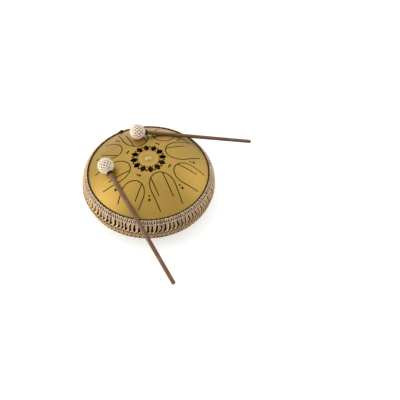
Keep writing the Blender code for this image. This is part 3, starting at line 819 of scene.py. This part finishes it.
# %% Helpers that run a tree
def path_mesh(name, paths, closed=False):
    """A mesh of edges only, one run for each path. Geometry Nodes read it as curves."""
    points, edges = [], []
    for path in paths:
        first, count = len(points), len(path)
        points += [tuple(point) for point in path]
        edges += [(first + i, first + i + 1) for i in range(count - 1)]
        if closed:
            edges.append((first + count - 1, first))
    mesh = bpy.data.meshes.new(name)
    mesh.from_pydata(points, edges, [])
    return mesh


def grown(name, seed_mesh, tree, **values):
    """Runs a tree on a mesh and keeps the result as one plain piece."""
    piece = add_piece(name, seed_mesh)
    modifier = piece.modifiers.new(tree.name, "NODES")
    modifier.node_group = tree
    for socket in tree.interface.items_tree:
        if socket.name in values:
            modifier[socket.identifier] = values[socket.name]
    piece.data = plain_mesh(piece, name)
    piece.modifiers.clear()
    return piece


def grown_cord(name, paths, tree, closed=False, **sizes):
    return grown(name, path_mesh(name + "_path", paths, closed), tree, **sizes)


# %% The laid cord's section and turns
CORD_INPUTS = {"Radius": 0.001, "Step": 0.001, "Lay": 150.0, "Lobe": 0.14, "Plies": 3, "Sides": 12}


def laid_cord(tree, start, curve):
    """Nodes that sweep a lobed, turning section along a curve of even points."""
    even = {"Curve": curve, "Length": start["Step"]}
    points = step(tree, "GeometryNodeResampleCurve", even, mode="LENGTH")
    length = put(tree, "GeometryNodeSplineLength").outputs["Length"]
    lobes = calculate(tree, "ROUND", product(tree, length, start["Lay"], start["Plies"]))
    turns = calculate(tree, "DIVIDE", lobes, start["Plies"])
    along = put(tree, "GeometryNodeSplineParameter").outputs["Factor"]
    tilt = product(tree, along, turns, 2 * pi)
    points = step(tree, "GeometryNodeSetCurveTilt", {"Curve": points, "Tilt": tilt})

    size = {"Resolution": start["Sides"], "Radius": start["Radius"]}
    section = step(tree, "GeometryNodeCurvePrimitiveCircle", size)
    share = put(tree, "GeometryNodeSplineParameter").outputs["Factor"]
    ridge = calculate(tree, "COSINE", product(tree, share, 2 * pi, start["Plies"]))
    swell = calculate(tree, "ADD", product(tree, ridge, start["Lobe"]), 1.0)
    place = {0: step(tree, "GeometryNodeInputPosition"), "Scale": swell}
    section = moved_to(tree, section, step(tree, "ShaderNodeVectorMath", place, operation="SCALE"))
    section = stored(tree, section, "ply_ridge", ridge)
    swept = {"Curve": points, "Profile Curve": section, "Fill Caps": True}
    return step(tree, "GeometryNodeCurveToMesh", swept)


def cord_tree(name, finish):
    tree, start, end = new_tree(name, **CORD_INPUTS)
    curve = step(tree, "GeometryNodeMeshToCurve", {"Mesh": start["Geometry"]})
    finished(tree, laid_cord(tree, start, curve), finish, end)
    return tree


print("inputs of a laid cord:", ", ".join(CORD_INPUTS))

# %% [markdown]
# The net is one pattern repeated a hundred times round the rim. In each unit a strand
# comes up from a loop at the foot, crosses its neighbour, runs up beside its twin,
# bends over in a wide arch at the top and goes down again in the same way. One
# unit's path is worked out here, and the tree copies the finished cord round the
# drum. Arraying by hand would give the same picture, but no way to change the count
# or the cord's size afterwards.

# %% One unit's path through the net
UNITS = 100
PITCH = 2 * pi / UNITS
NET_CORD = 0.00160
LEAN = 0.35
LEAN_FROM, LEAN_TO = 0.060, 0.044
CROSSING, CROSSING_DEPTH = 0.0535, 1.7
CROSSING_NEAR, CROSSING_FAR = 0.001, 0.010

# Half a unit, from the arch's top down to the foot loop under the next bundle.
# Each row is (sideways in pitches, height, depth in cord radii).
HALF_UNIT = (
    (0.000, 0.0786, -2.05), (0.130, 0.0781, -2.15), (0.225, 0.0768, -0.90),
    (0.250, 0.0742, 0.50), (0.210, 0.0714, 1.50), (0.160, 0.0688, 1.20),
    (0.155, 0.0660, 1.00), (0.155, 0.0620, 1.00), (0.135, 0.0585, 1.00),
    (0.060, 0.0550, 1.00), (-0.060, 0.0520, 1.00), (-0.190, 0.0495, 1.00),
    (-0.290, 0.0470, 1.30), (-0.335, 0.0440, 1.90), (-0.345, 0.0410, 2.20),
    (-0.345, 0.0380, 2.00), (-0.345, 0.0350, 1.20), (-0.345, 0.0320, 0.60),
    (-0.350, 0.0285, 0.30), (-0.390, 0.0253, 0.10), (-0.500, 0.0238, 0.00),
)


def smooth(value, start, end):
    """Rises from 0 at start to 1 at end, level at both."""
    share = np.clip((value - start) / (end - start), 0, 1)
    return share * share * (3 - 2 * share)


def round_z(radii, turns, heights):
    """Points at these distances, turns and heights round the Z axis."""
    x, y = radii * np.cos(turns), radii * np.sin(turns)
    return np.stack([x, y, x * 0 + heights], axis=1)


def unit_path():
    right = np.array(HALF_UNIT)
    left = right[:0:-1] * (-1, 1, 1)
    near_crossing = smooth(-abs(left[:, 1] - CROSSING), -CROSSING_FAR, -CROSSING_NEAR)
    left[:, 2] += CROSSING_DEPTH * near_crossing
    rows = np.vstack([left, right])
    lean = -LEAN * smooth(-rows[:, 1], -LEAN_FROM, -LEAN_TO)
    angles = (rows[:, 0] + lean) * PITCH
    return round_z(net_outside(rows[:, 1]) - rows[:, 2] * NET_CORD, angles, rows[:, 1])


one_unit = unit_path()
rim_length = PITCH * (PLATE_RADIUS + BULGE)
print("one unit:", len(one_unit), "points over", round(rim_length * 1000, 1), "mm of rim")

# %% [markdown]
# Hemp cord isn't one colour: every strand is a little darker or paler than the next,
# and the fibres fray. Light and shade are painted in as well. The cord is painted a lit
# cream at the top, where the light falls on it, and a warmer, darker tan lower down,
# which is painted shade. The grooves between the plies and the sides that face in are
# painted darker too, as the shade that ambient occlusion would find, but it doesn't
# export. So the trees store three numbers that the material reads: each strand's own
# tone, how near a point is to a ply's ridge, and how far it faces outwards.

# %% The natural cord
# Painted light and shade by height: a lit cream at the top, a shaded tan at the foot, a tan
# between.
LIT_TOP_CREAM, MIDDLE_TAN, SHADED_FOOT_AND_FIBRE_TAN = colour(255, 228, 188), colour(252, 214, 166), colour(240, 200, 150)
# The second colour is painted shade in the grooves between the plies and on the sides that face
# in.
SHADED, PAINTED_GROOVE_SHADE = colour(96, 66, 40), colour(58, 34, 18)

natural_cord, tree = new_finish("natural_cord")
tone, ridge, facing = (
    put(tree, "ShaderNodeAttribute", attribute_name=name).outputs["Fac"]
    for name in ("strand_tone", "ply_ridge", "facing_out")
)
place = object_place(tree)
height = put(tree, "ShaderNodeSeparateXYZ", {0: place}).outputs[2]
fibre = noise(tree, place, 1600, 3, 0.6)
patch = noise(tree, place, 90, 3, 0.6)
# Painted light and shade: paler towards the top, where the light falls, darker tan lower down.
hue = blended(tree, spread(tree, height, 0.042, 0.052), SHADED_FOOT_AND_FIBRE_TAN, MIDDLE_TAN)
hue = blended(tree, spread(tree, height, 0.066, 0.072), hue, LIT_TOP_CREAM)
tone = calculate(tree, "ADD", tone, product(tree, patch, 0.8))
hue = blended(tree, spread(tree, tone, 0.15, 0.9), blended(tree, 0.40, hue, SHADED), hue)
frayed = blended(tree, 0.35, hue, SHADED_FOOT_AND_FIBRE_TAN)
hue = blended(tree, spread(tree, fibre, 0.3, 0.7, 0.0, 0.5), hue, frayed)
# Painted shade: darker in the grooves between the plies and where the cord faces in towards the
# rim.
unshaded = product(
    tree, spread(tree, facing, -0.05, 0.78), spread(tree, ridge, -1.1, 0.3, 0.20, 1.0)
)
dress(
    natural_cord, Base_Color=blended(tree, unshaded, PAINTED_GROOVE_SHADE, hue), Roughness=0.92,
    Specular_IOR_Level=0.15, Normal=bump(tree, fibre, 0.0002, 0.6),
)


# %% A helper that marks which way the cord faces
def vector_maths(tree, operation, *values, **inputs):
    """Adds a Vector Math node and returns its vector."""
    sockets = {**dict(enumerate(values)), **inputs}
    return step(tree, "ShaderNodeVectorMath", sockets, operation=operation)


def marked_facing(tree, geometry):
    """Stores how far each point of the cord faces away from the rim's middle line."""
    place = step(tree, "GeometryNodeInputPosition")
    sideways = vector_maths(tree, "NORMALIZE", vector_maths(tree, "MULTIPLY", place, (1, 1, 0)))
    middle_line = vector_maths(tree, "SCALE", sideways, Scale=PLATE_RADIUS)
    middle_line = vector_maths(tree, "ADD", middle_line, (0, 0, SEAM_Z))
    outward = vector_maths(
        tree, "NORMALIZE", vector_maths(tree, "SUBTRACT", place, middle_line)
    )
    both = {0: step(tree, "GeometryNodeInputNormal"), 1: outward}
    share = put(tree, "ShaderNodeVectorMath", both, operation="DOT_PRODUCT")
    return stored(tree, geometry, "facing_out", share.outputs["Value"])


# %% [markdown]
# The real net was knotted by hand, so no two of its gaps are alike. In front its
# strands stand in tight bundles with wide gaps, and at the sides they are spread more
# evenly. Two small turns about the drum's axis give both: one follows a slow noise,
# and one spreads the strands, from nearly nothing in front to its full share.

# %% Sway the net and spread its strands
SWAY_SCALE = 42
EVEN_SLOPE, EVEN_AT_THE_SIDES, EVEN_MOST = 0.9, 1.0, 0.50


def swayed(tree, geometry, sway):
    """Turns each point of the cords a little round the drum's axis."""
    place = step(tree, "GeometryNodeInputPosition")
    drift = calculate(tree, "SUBTRACT", noise(tree, place, SWAY_SCALE), 0.5)
    turn = calculate(tree, "DIVIDE", product(tree, drift, sway), PLATE_RADIUS / 2)
    x, y, z = put(tree, "ShaderNodeSeparateXYZ", {0: place}).outputs
    phase = product(tree, calculate(tree, "ARCTAN2", y, x), UNITS)
    behind = calculate(tree, "DIVIDE", y, PLATE_RADIUS)
    apart = calculate(tree, "MULTIPLY_ADD", behind, EVEN_SLOPE, EVEN_AT_THE_SIDES)
    apart = step(tree, "ShaderNodeClamp", {"Value": apart, "Max": EVEN_MOST})
    evened = product(tree, calculate(tree, "SINE", phase), apart)
    turn = calculate(tree, "ADD", turn, calculate(tree, "DIVIDE", evened, UNITS))
    turned = {"Vector": place, "Angle": turn}
    place = step(tree, "ShaderNodeVectorRotate", turned, rotation_type="Z_AXIS")
    return moved_to(tree, geometry, place)


# %% Copy the unit round the rim
NET_SEED = 7
NET_SWAY = 0.0055


def even_turns(tree, count):
    """Each copy's turn, where so many copies stand evenly round the drum."""
    index = step(tree, "GeometryNodeInputIndex")
    return calculate(tree, "DIVIDE", product(tree, index, 2 * pi), count)


def net_tree(finish):
    inputs = {**CORD_INPUTS, "Units": UNITS, "Sway": NET_SWAY, "Seed": NET_SEED}
    tree, start, end = new_tree("net_round_the_rim", **inputs)
    curve = step(tree, "GeometryNodeMeshToCurve", {"Mesh": start["Geometry"]})
    curve = step(tree, "GeometryNodeCurveSplineType", {"Curve": curve}, spline_type="CATMULL_ROM")
    cord = laid_cord(tree, start, curve)
    places = step(tree, "GeometryNodePoints", {"Count": start["Units"]})
    turning = step(tree, "ShaderNodeCombineXYZ", {"Z": even_turns(tree, start["Units"])})
    copies = {"Points": places, "Instance": cord, "Rotation": turning}
    net = step(tree, "GeometryNodeInstanceOnPoints", copies)
    draw = {"ID": step(tree, "GeometryNodeInputIndex"), "Seed": start["Seed"]}
    tone = put(tree, "FunctionNodeRandomValue", draw).outputs["Value"]
    net = stored(tree, net, "strand_tone", tone, domain="INSTANCE")
    net = step(tree, "GeometryNodeRealizeInstances", {"Geometry": net})
    finished(tree, swayed(tree, marked_facing(tree, net), start["Sway"]), finish, end)
    return tree


net = grown_cord(
    "cord_net", [one_unit], net_tree(natural_cord),
    Radius=NET_CORD, Step=0.0013, Lay=120.0, Lobe=0.10, Sides=9,
)
part_of(net, "drum", "natural_cord", "rope_braid_upper", "rope_lacing", "rope_braid_lower")

# %% [markdown]
# Twisted pairs of the same cord run round the drum and hold the units together: two
# thin ones at the arches, and two thick ones close together at the foot. A ring is a
# closed circle, so the laid cord can be swept along it as it is, with two plies and a
# deep groove between them. The rings get the same facing value as the net, because
# they share its material.

# %% Lay the rings
RINGS = {
    # radius, lobe, then the height and the depth under the net's outside of each ring
    "top_rings": (0.00115, 0.30, ((0.0770, -0.0010), (0.0706, 0.0010))),
    "foot_rings": (0.00190, 0.32, ((0.0428, 0.0014), (0.0388, 0.0014))),
}
RING_TONE = 0.3


def level_circle(radius, height, count=240):
    return round_z(radius, np.arange(count) * 2 * pi / count, height)


def ring_tree(name, finish):
    tree, start, end = new_tree(name, **CORD_INPUTS)
    curve = step(tree, "GeometryNodeMeshToCurve", {"Mesh": start["Geometry"]})
    cord = marked_facing(tree, laid_cord(tree, start, curve))
    finished(tree, stored(tree, cord, "strand_tone", RING_TONE), finish, end)
    return tree


twisted_pair = ring_tree("twisted_pair", natural_cord)
for name, (thick, lobe, places) in RINGS.items():
    circles = [level_circle(float(net_outside(z)) - depth, z) for z, depth in places]
    ring = grown_cord(
        name, circles, twisted_pair, closed=True,
        Radius=thick, Step=0.0012, Lay=80.0, Lobe=lobe, Plies=2, Sides=12,
    )
    part_of(ring, "drum", "natural_cord")

# %% [markdown]
# A thin dark cord lies along each edge of the net. The upper one shows as the fine
# dark line between gold and cord. The lower one shows between the foot loops, where
# its dark dashes are partly painted shade: they stand for the shadow between the
# loops. Their places are read from the imported model's rings.

# %% Lay the dark edge cords
# The lower cord's dark dashes between the foot loops are partly painted shade.
EDGE_CORDS = {"edge_cord_upper": 0.00096, "edge_cord_lower": 0.00110}

dark_cord, tree = new_finish("dark_cord")
fibre = noise(tree, object_place(tree), 1800, 3, 0.6)
hue = blended(tree, spread(tree, fibre, 0.3, 0.7), colour(40, 20, 7), colour(78, 46, 18))
dress(
    dark_cord, Base_Color=hue, Roughness=0.85, Specular_IOR_Level=0.2,
    Normal=bump(tree, fibre, 0.0002, 0.5),
)


def ring_centre(name):
    """The radius and height of the middle of a packed ring's section."""
    points = vertex_places(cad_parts[name].data)
    radii, heights = np.hypot(points[:, 0], points[:, 1]), points[:, 2]
    return (radii.min() + radii.max()) / 2, (heights.min() + heights.max()) / 2


dark_laid = cord_tree("dark_laid_cord", dark_cord)
for name, thick in EDGE_CORDS.items():
    radius, height = ring_centre(name)
    print(name, "radius", round(radius * 1000, 2), "height", round(height * 1000, 2))
    ring = grown_cord(
        name.replace("edge", "dark_edge"), [level_circle(radius, height)], dark_laid,
        closed=True, Radius=thick, Step=0.0009, Lay=150.0, Lobe=0.16, Sides=9,
    )
    part_of(ring, "drum", "dark_cord", name)

# %% [markdown]
# The upper cord's two ends are tied in one overhand knot at the back, and the ends
# are cut short. A trefoil is that knot drawn as a rule, squeezed into the space that
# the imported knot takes.

# %% Tie the knot
KNOT_INSET, KNOT_SHIFT = 0.0042, 0.0012
KNOT_SIZE = (0.0015, 0.00135, 0.00110)
KNOT_CORD, TAIL_CORD = 0.00125, 0.00100
TAIL = ((0.0, 0.0026, 0.0), (0.0006, 0.0042, -0.0002), (0.0012, 0.0056, -0.0008))

knot_low, knot_high = (np.array(corner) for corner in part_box("edge_cord_knot"))
knot_middle = (knot_low + knot_high) / 2
knot_turn = atan2(knot_middle[1], knot_middle[0])
turns = np.linspace(0, 2 * pi, 90, endpoint=False)
across = np.sin(turns) + 2 * np.sin(2 * turns)
upwards = np.cos(turns) - 2 * np.cos(2 * turns)
trefoil = np.stack([np.sin(3 * turns), across, upwards], axis=1) * KNOT_SIZE
tails = [np.array(TAIL), np.array(TAIL) * (1, -1, 1)]


def at_knot(points):
    plan = turned_plan(points[:, :2] + (-KNOT_INSET, KNOT_SHIFT), knot_turn)
    return np.column_stack([plan, points[:, 2]]) + knot_middle


knot_loop = grown_cord(
    "knot_loop", [at_knot(trefoil)], dark_laid, closed=True, Radius=KNOT_CORD, Step=0.0006, Sides=9
)
part_of(knot_loop, "drum", "dark_cord", "edge_cord_knot")
knot_tails = grown_cord(
    "knot_tails", [at_knot(tail) for tail in tails], dark_laid,
    Radius=TAIL_CORD, Step=0.0006, Sides=9,
)
part_of(knot_tails, "drum", "dark_cord")

# %% [markdown]
# Each mallet is made standing at the origin, with its head's centre at zero and its
# stick along +Z, and is laid in its place at the end. That place is read from the
# packed stick: its long direction is the mallet's axis, and its two ends say where
# the head is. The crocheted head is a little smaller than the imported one, so the
# mallet tips down about the point where the stick rests on the rim. The place goes
# into the mesh itself, so the finished pieces' objects stay at the origin, unturned.

# %% Where the mallets lie
HEAD_RADIUS, HEAD_DROP = 0.0179, 0.0016
STICK_RADIUS = 0.0045
STICK_START, STICK_REACH = 0.001563, 0.300
REST_RADIUS = 0.142
MALLETS = ("mallet_1", "mallet_2")


def mallet_place(name):
    """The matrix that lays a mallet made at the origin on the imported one."""
    points = vertex_places(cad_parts[name + "_stick"].data)
    head = vertex_places(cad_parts[name + "_cover"].data).mean(axis=0)
    middle = points.mean(axis=0)
    way = np.linalg.svd(points - middle, full_matrices=False)[2][0]
    if way @ (head - middle) > 0:
        way = -way
    along = (points - middle) @ way
    near_end = points[along < along.min() + 1e-5].mean(axis=0)
    centre = near_end - STICK_START * way
    reach = np.linspace(0, STICK_REACH, 3001)
    spots = centre + reach[:, None] * way
    rests_at = spots[(np.hypot(spots[:, 0], spots[:, 1]) > REST_RADIUS).argmax()]
    centre = centre - (0, 0, HEAD_DROP)
    way = (rests_at - centre) / np.linalg.norm(rests_at - centre)
    sideways = np.cross((0, 0, 1), way)
    sideways /= np.linalg.norm(sideways)
    place = np.identity(4)
    place[:3] = np.column_stack([sideways, np.cross(way, sideways), way, centre])
    return Matrix(place)


def lay_down(piece, name, slot, node):
    """Lays a piece in its mallet's place, as a part of that mallet."""
    piece.data.transform(mallet_places[name])
    part_of(piece, name, slot, name + node)


mallet_places = {name: mallet_place(name) for name in MALLETS}
for name, place in mallet_places.items():
    print(name, "head at", [round(v * 1000, 1) for v in place.translation], "mm")

# %% [markdown]
# The sticks are straight-grained hardwood with a dark reddish stain, rounded over at
# the free end. The grain runs along the stick, so the pattern has to follow the stick
# and not the room. The stick's own coordinates are kept in an attribute before it is
# laid down, and the material reads that.

# %% The stained wood
ALONG_THE_GRAIN = (1.0, 1.0, 0.035)

stained_wood, tree = new_finish("stained_wood")
own = put(tree, "ShaderNodeAttribute", attribute_name="own_place").outputs["Vector"]
long_way = step(tree, "ShaderNodeMapping", {"Vector": own, "Scale": ALONG_THE_GRAIN})
pores = noise(tree, long_way, 1500, 4, 0.65)
figure = noise(tree, long_way, 330, 3, 0.55)
wear = noise(tree, own, 35, 2)
wood = blended(tree, spread(tree, figure, 0.3, 0.7), colour(86, 55, 34), colour(124, 86, 54))
wood = blended(tree, spread(tree, pores, 0.5, 0.72, 0.0, 0.75), wood, colour(46, 26, 18))
wood = blended(tree, spread(tree, wear, 0.5, 0.75, 0.0, 0.35), wood, colour(150, 108, 76))
dress(
    stained_wood, Base_Color=wood, Roughness=calculate(tree, "MULTIPLY_ADD", pores, 0.3, 0.28),
    Specular_IOR_Level=0.3, Coat_Weight=0.08, Coat_Roughness=0.4,
    Normal=bump(tree, pores, -0.0002, 0.5),
)

# %% Turn the sticks
STICK_ROUNDING = 0.003


def stick_outline():
    """From the free end's pole, over its rounding, to the flat end inside the head."""
    rounding = [
        (STICK_RADIUS * sin(t), STICK_REACH - STICK_ROUNDING * (1 - cos(t)))
        for t in np.linspace(0, pi / 2, 9)
    ]
    heights = np.linspace(STICK_REACH - STICK_ROUNDING, STICK_START, 24)[1:]
    return rounding + [(STICK_RADIUS, z) for z in heights] + [(0, STICK_START)]


for name in MALLETS:
    stick_mesh = turned_mesh(name + "_stick", stick_outline(), steps=40)
    kept = stick_mesh.attributes.new("own_place", "FLOAT_VECTOR", "POINT")
    kept.data.foreach_set("vector", vertex_places(stick_mesh).ravel())
    stick = add_piece(name + "_stick_wood", stick_mesh, stained_wood)
    lay_down(stick, name, "dark_stained_wood", "_stick")

# %% [markdown]
# Under its cover each head is a ball of dark rubber. It shows only as darkness in the
# holes of the crochet, but it has to be there, or light would fall through them.

# %% Turn the cores
CORE_RADIUS = 0.0143
CORE_BORE_FLOOR = 0.00126
NECK = STICK_RADIUS + GAP

core_rubber, tree = new_finish("core_rubber")
dress(
    core_rubber, Base_Color=colour(26, 17, 13), Roughness=0.9, Specular_IOR_Level=0.2,
    Normal=bump(tree, noise(tree, object_place(tree), 900, 2), 0.0002, 0.5),
)
core_turns = np.linspace(asin(NECK / CORE_RADIUS), pi, 26)
ball = [(CORE_RADIUS * sin(t), CORE_RADIUS * cos(t)) for t in core_turns[:-1]]
core_outline = [(0, CORE_BORE_FLOOR), (NECK, CORE_BORE_FLOOR)] + ball + [(0, -CORE_RADIUS)]
for name in MALLETS:
    core_mesh = turned_mesh(name + "_core", core_outline, steps=48)
    core = add_piece(name + "_rubber_core", core_mesh, core_rubber)
    lay_down(core, name, "core_rubber", "_core")

# %% [markdown]
# The covers are crocheted from soft cotton yarn in open rounds. In each round the
# yarn runs in bows, and every bow hooks over a bow of the round before it, which
# leaves staggered round holes. Here one round is two yarns side by side, each a closed
# wave on the ball, bowed like a row of horseshoes. One yarn rises over its neighbour
# at the crests and dips under it in the troughs. The rounds have fewer bows towards
# the ball's two ends, as a crocheter decreases there.

# %% The rounds of crochet
YARN = 0.00105
YARN_PAIR = 0.0008
YARN_SINK = 0.0005
ROUND_STEP = 0.0050
FIRST_ROUND, LAST_ROUND = radians(22), radians(160)
BOW_SWING, BOW_CURL, OVER_AND_UNDER = 0.43, 0.15, 0.00045
# A round has this many bows, where the ball is wider than this share of its radius.
BOWS = ((0.70, 13), (0.45, 9), (0.0, 6))
# The last rings are (radius, height): two close the far end, two lie round the neck.
CLOSING = ((0.0024, -HEAD_RADIUS + 0.0013), (0.0009, -HEAD_RADIUS + 0.0010))
COLLAR = ((NECK + 0.0012, 0.0161), (NECK + 0.0024, 0.0156))


def crochet_round(tilt, bows, phase, side):
    """One yarn of a round, a closed wave on the ball at an angle from the stick."""
    turns = np.linspace(0, 2 * pi, bows * 14, endpoint=False)
    wave = bows * turns + phase
    swing = BOW_SWING * ROUND_STEP / HEAD_RADIUS
    tilts = tilt + side * YARN_PAIR / HEAD_RADIUS + swing * np.cos(wave)
    around = turns + BOW_CURL * np.sin(2 * wave) / bows
    radius = HEAD_RADIUS - YARN - YARN_SINK + OVER_AND_UNDER * side * np.cos(wave)
    return round_z(radius * np.sin(tilts), around, radius * np.cos(tilts))


def crochet_cover():
    count = round((LAST_ROUND - FIRST_ROUND) * HEAD_RADIUS / ROUND_STEP) + 1
    rounds = []
    for k, tilt in enumerate(np.linspace(FIRST_ROUND, LAST_ROUND, count)):
        bows = next(number for width, number in BOWS if sin(tilt) > width)
        rounds += [crochet_round(tilt, bows, pi * k, side) for side in (-1, 1)]
    return rounds + [level_circle(radius, height, 30) for radius, height in CLOSING + COLLAR]


cover_paths = crochet_cover()
print(len(cover_paths), "rounds of yarn")

# %% The cotton yarn and the covers
cotton_yarn, tree = new_finish("cotton_yarn")
place = object_place(tree)
fluff = noise(tree, place, 2200, 3, 0.6)
patch = noise(tree, place, 120, 2)
hue = blended(tree, spread(tree, patch, 0.3, 0.7), colour(255, 233, 206), colour(255, 242, 222))
hue = blended(tree, spread(tree, fluff, 0.3, 0.7, 0.0, 0.5), hue, colour(236, 208, 172))
dress(
    cotton_yarn, Base_Color=hue, Roughness=0.95, Specular_IOR_Level=0.1, Sheen_Weight=0.35,
    Sheen_Roughness=0.6, Normal=bump(tree, fluff, 0.00025, 0.6),
)

yarn_tree = cord_tree("crochet_yarn", cotton_yarn)
for name in MALLETS:
    cover = grown_cord(
        name + "_crochet", cover_paths, yarn_tree, closed=True,
        Radius=YARN, Step=0.0008, Lay=170.0, Lobe=0.16, Sides=9,
    )
    lay_down(cover, name, "crocheted_cotton", "_cover")

# %% [markdown]
# A dark thread is wound tightly round the neck and keeps the cover shut. It is one
# long coil, so its path is a helix whose pitch is the thread's own thickness.

# %% Wind the bindings
THREAD = 0.00095
COIL_RADIUS = NECK + THREAD * 0.9
COIL_PITCH = 1.9 * THREAD
BINDING_START, BINDING_END = 0.0166, 0.0232

coil_length = BINDING_END - BINDING_START - 2 * THREAD
turns = np.linspace(0, 2 * pi * coil_length / COIL_PITCH, 220)
heights = BINDING_START + THREAD + turns / turns[-1] * coil_length
coil = round_z(COIL_RADIUS, turns, heights)
for name in MALLETS:
    binding = grown_cord(
        name + "_thread", [coil], dark_laid,
        Radius=THREAD, Step=0.0006, Lay=190.0, Lobe=0.14, Sides=9,
    )
    lay_down(binding, name, "dark_cord", "_binding")

# %% [markdown]
# Four rubber feet stand under the base disc, each held by a pan head screw. One foot
# and one screw are turned at the middle of the drum, and a tree copies them to the
# corners. Rubber is moulded, so every edge of the foot is rounded, and the screw's
# shank ends in a chamfer, as a rolled thread needs to enter its nut.

# %% One foot
FOOT_RADIUS, FOOT_HEIGHT, FOOT_FLOOR = 0.009, 0.008, 0.0042
RECESS_RADIUS = 0.0046


def rounded(corner, before, after, size, count=4):
    """Points that round a corner of an outline off, from one neighbour to the other."""
    corner, before, after = (np.array(p, float) for p in (corner, before, after))
    first = corner + size * (before - corner) / np.linalg.norm(before - corner)
    last = corner + size * (after - corner) / np.linalg.norm(after - corner)
    t = np.linspace(0, 1, count)[:, None]
    return [tuple(p) for p in (1 - t) ** 2 * first + 2 * t * (1 - t) * corner + t**2 * last]


sole, floor_z = -GAP - FOOT_HEIGHT, -GAP - FOOT_FLOOR
foot_corners = (
    # radius, height, rounding
    (SCREW_HOLE, -GAP, 0.0002), (FOOT_RADIUS, -GAP, 0.0006), (FOOT_RADIUS, sole, 0.0008),
    (RECESS_RADIUS, sole, 0.0004), (RECESS_RADIUS, floor_z, 0.0003), (SCREW_HOLE, floor_z, 0.0002),
)
foot_outline = []
for i, (*corner, size) in enumerate(foot_corners):
    after = foot_corners[(i + 1) % len(foot_corners)]
    foot_outline += rounded(corner, foot_corners[i - 1][:2], after[:2], size)

print(len(foot_outline), "points in the foot's outline")

# %% One screw
SCREW_RADIUS, SCREW_TOP, SCREW_CHAMFER = 0.0020, 0.0070, (0.0003, 0.0004)
HEAD_WIDTH, HEAD_HEIGHT, HEAD_EDGE = 0.0038, 0.0022, 0.0009

under_head = floor_z - GAP
head_foot = under_head - HEAD_HEIGHT
dome = [
    (HEAD_WIDTH * cos(t), under_head - HEAD_EDGE - (HEAD_HEIGHT - HEAD_EDGE) * sin(t))
    for t in np.linspace(0, pi / 2, 8)[:-1]
]
screw_outline = [
    (0, SCREW_TOP), (SCREW_RADIUS - SCREW_CHAMFER[0], SCREW_TOP),
    (SCREW_RADIUS, SCREW_TOP - SCREW_CHAMFER[1]), (SCREW_RADIUS, under_head),
    (HEAD_WIDTH, under_head), *dome, (0, head_foot),
]
print(len(screw_outline), "points in the screw's outline")

# %% [markdown]
# Black rubber is a dull grey with a fine speckle. Zinc plating is bright, and its
# crystals show as small cells of slightly different greys, which a Voronoi pattern
# draws well.

# %% The rubber and the zinc
foot_rubber, tree = new_finish("foot_rubber")
speckle = noise(tree, object_place(tree), 1500, 3, 0.6)
hue = blended(tree, spread(tree, speckle, 0.3, 0.7), colour(24, 24, 25), colour(46, 45, 45))
dress(
    foot_rubber, Base_Color=hue, Roughness=0.7, Specular_IOR_Level=0.35,
    Normal=bump(tree, speckle, 0.00015, 0.5),
)

bright_zinc, tree = new_finish("bright_zinc")
place = object_place(tree)
spangle = step(tree, "ShaderNodeTexVoronoi", {"Vector": place, "Scale": 900.0})
hue = blended(tree, spread(tree, spangle, 0.0, 0.6), colour(196, 196, 190), colour(170, 172, 172))
rough = calculate(tree, "MULTIPLY_ADD", noise(tree, place, 1200, 2), 0.25, 0.2)
dress(bright_zinc, Base_Color=hue, Metallic=1.0, Roughness=rough)

# %% [markdown]
# The cross in the screw's head is two tapered bars taken out by a Boolean. It is cut
# once, before the screw is copied, so all four screws are alike. The feet need no
# cutting and go to the corners as they are turned.


# %% Copy the feet to the corners
def corners_tree(finish):
    inputs = {"Count": len(FEET), "Circle": FOOT_CIRCLE, "Phase": FOOT_PHASE}
    tree, start, end = new_tree("corners_of_the_base", **inputs)
    points = step(tree, "GeometryNodePoints", {"Count": start["Count"]})
    turn = calculate(tree, "ADD", even_turns(tree, start["Count"]), start["Phase"])
    x = product(tree, calculate(tree, "COSINE", turn), start["Circle"])
    y = product(tree, calculate(tree, "SINE", turn), start["Circle"])
    points = moved_to(tree, points, step(tree, "ShaderNodeCombineXYZ", {"X": x, "Y": y}))
    copies = {"Points": points, "Instance": start["Geometry"]}
    finished(tree, step(tree, "GeometryNodeInstanceOnPoints", copies), finish, end)
    return tree


foot_mesh = turned_mesh("foot", foot_outline, steps=40, closed=True)
feet = grown("rubber_feet", foot_mesh, corners_tree(foot_rubber))
part_of(feet, "drum", "black_rubber", *[f"foot_{k}" for k in FEET])

# %% Cut the cross and copy the screws
# Each end of a bar is (height over the head's lowest point, half length, half width).
CROSS_ENDS = ((0.0014, 0.0010, 0.00025), (-0.001, 0.0022, 0.00045))


def cross_cutter():
    """Two bars that narrow towards their floor, crossed under the screw's head."""
    shape = bmesh.new()
    for turn in (0, pi / 2):
        levels = []
        for height, reach, half in CROSS_ENDS:
            plan = [(-reach, -half), (reach, -half), (reach, half), (-reach, half)]
            levels.append([(x, y, head_foot + height) for x, y in turned_plan(plan, turn)])
        add_prism(shape, levels)
    return mesh_of(shape, "cross")


one_screw = add_piece("one_screw", turned_mesh("screw", screw_outline, steps=32), bright_zinc)
cut_out(one_screw, cross_cutter(), bright_zinc)
screws = grown("foot_screws", one_screw.data, corners_tree(bright_zinc))
bpy.data.objects.remove(one_screw)
part_of(screws, "drum", "zinc_plated_steel", *[f"foot_screw_{k}" for k in FEET])

# %% [markdown]
# The nuts are inside the drum, where no one sees them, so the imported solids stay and
# only get the zinc.

# %% Plate the nuts
for k in FEET:
    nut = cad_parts[f"foot_nut_{k}"]
    nut.data.materials.clear()
    nut.data.materials.append(bright_zinc)
print("nuts keep their packed shape")
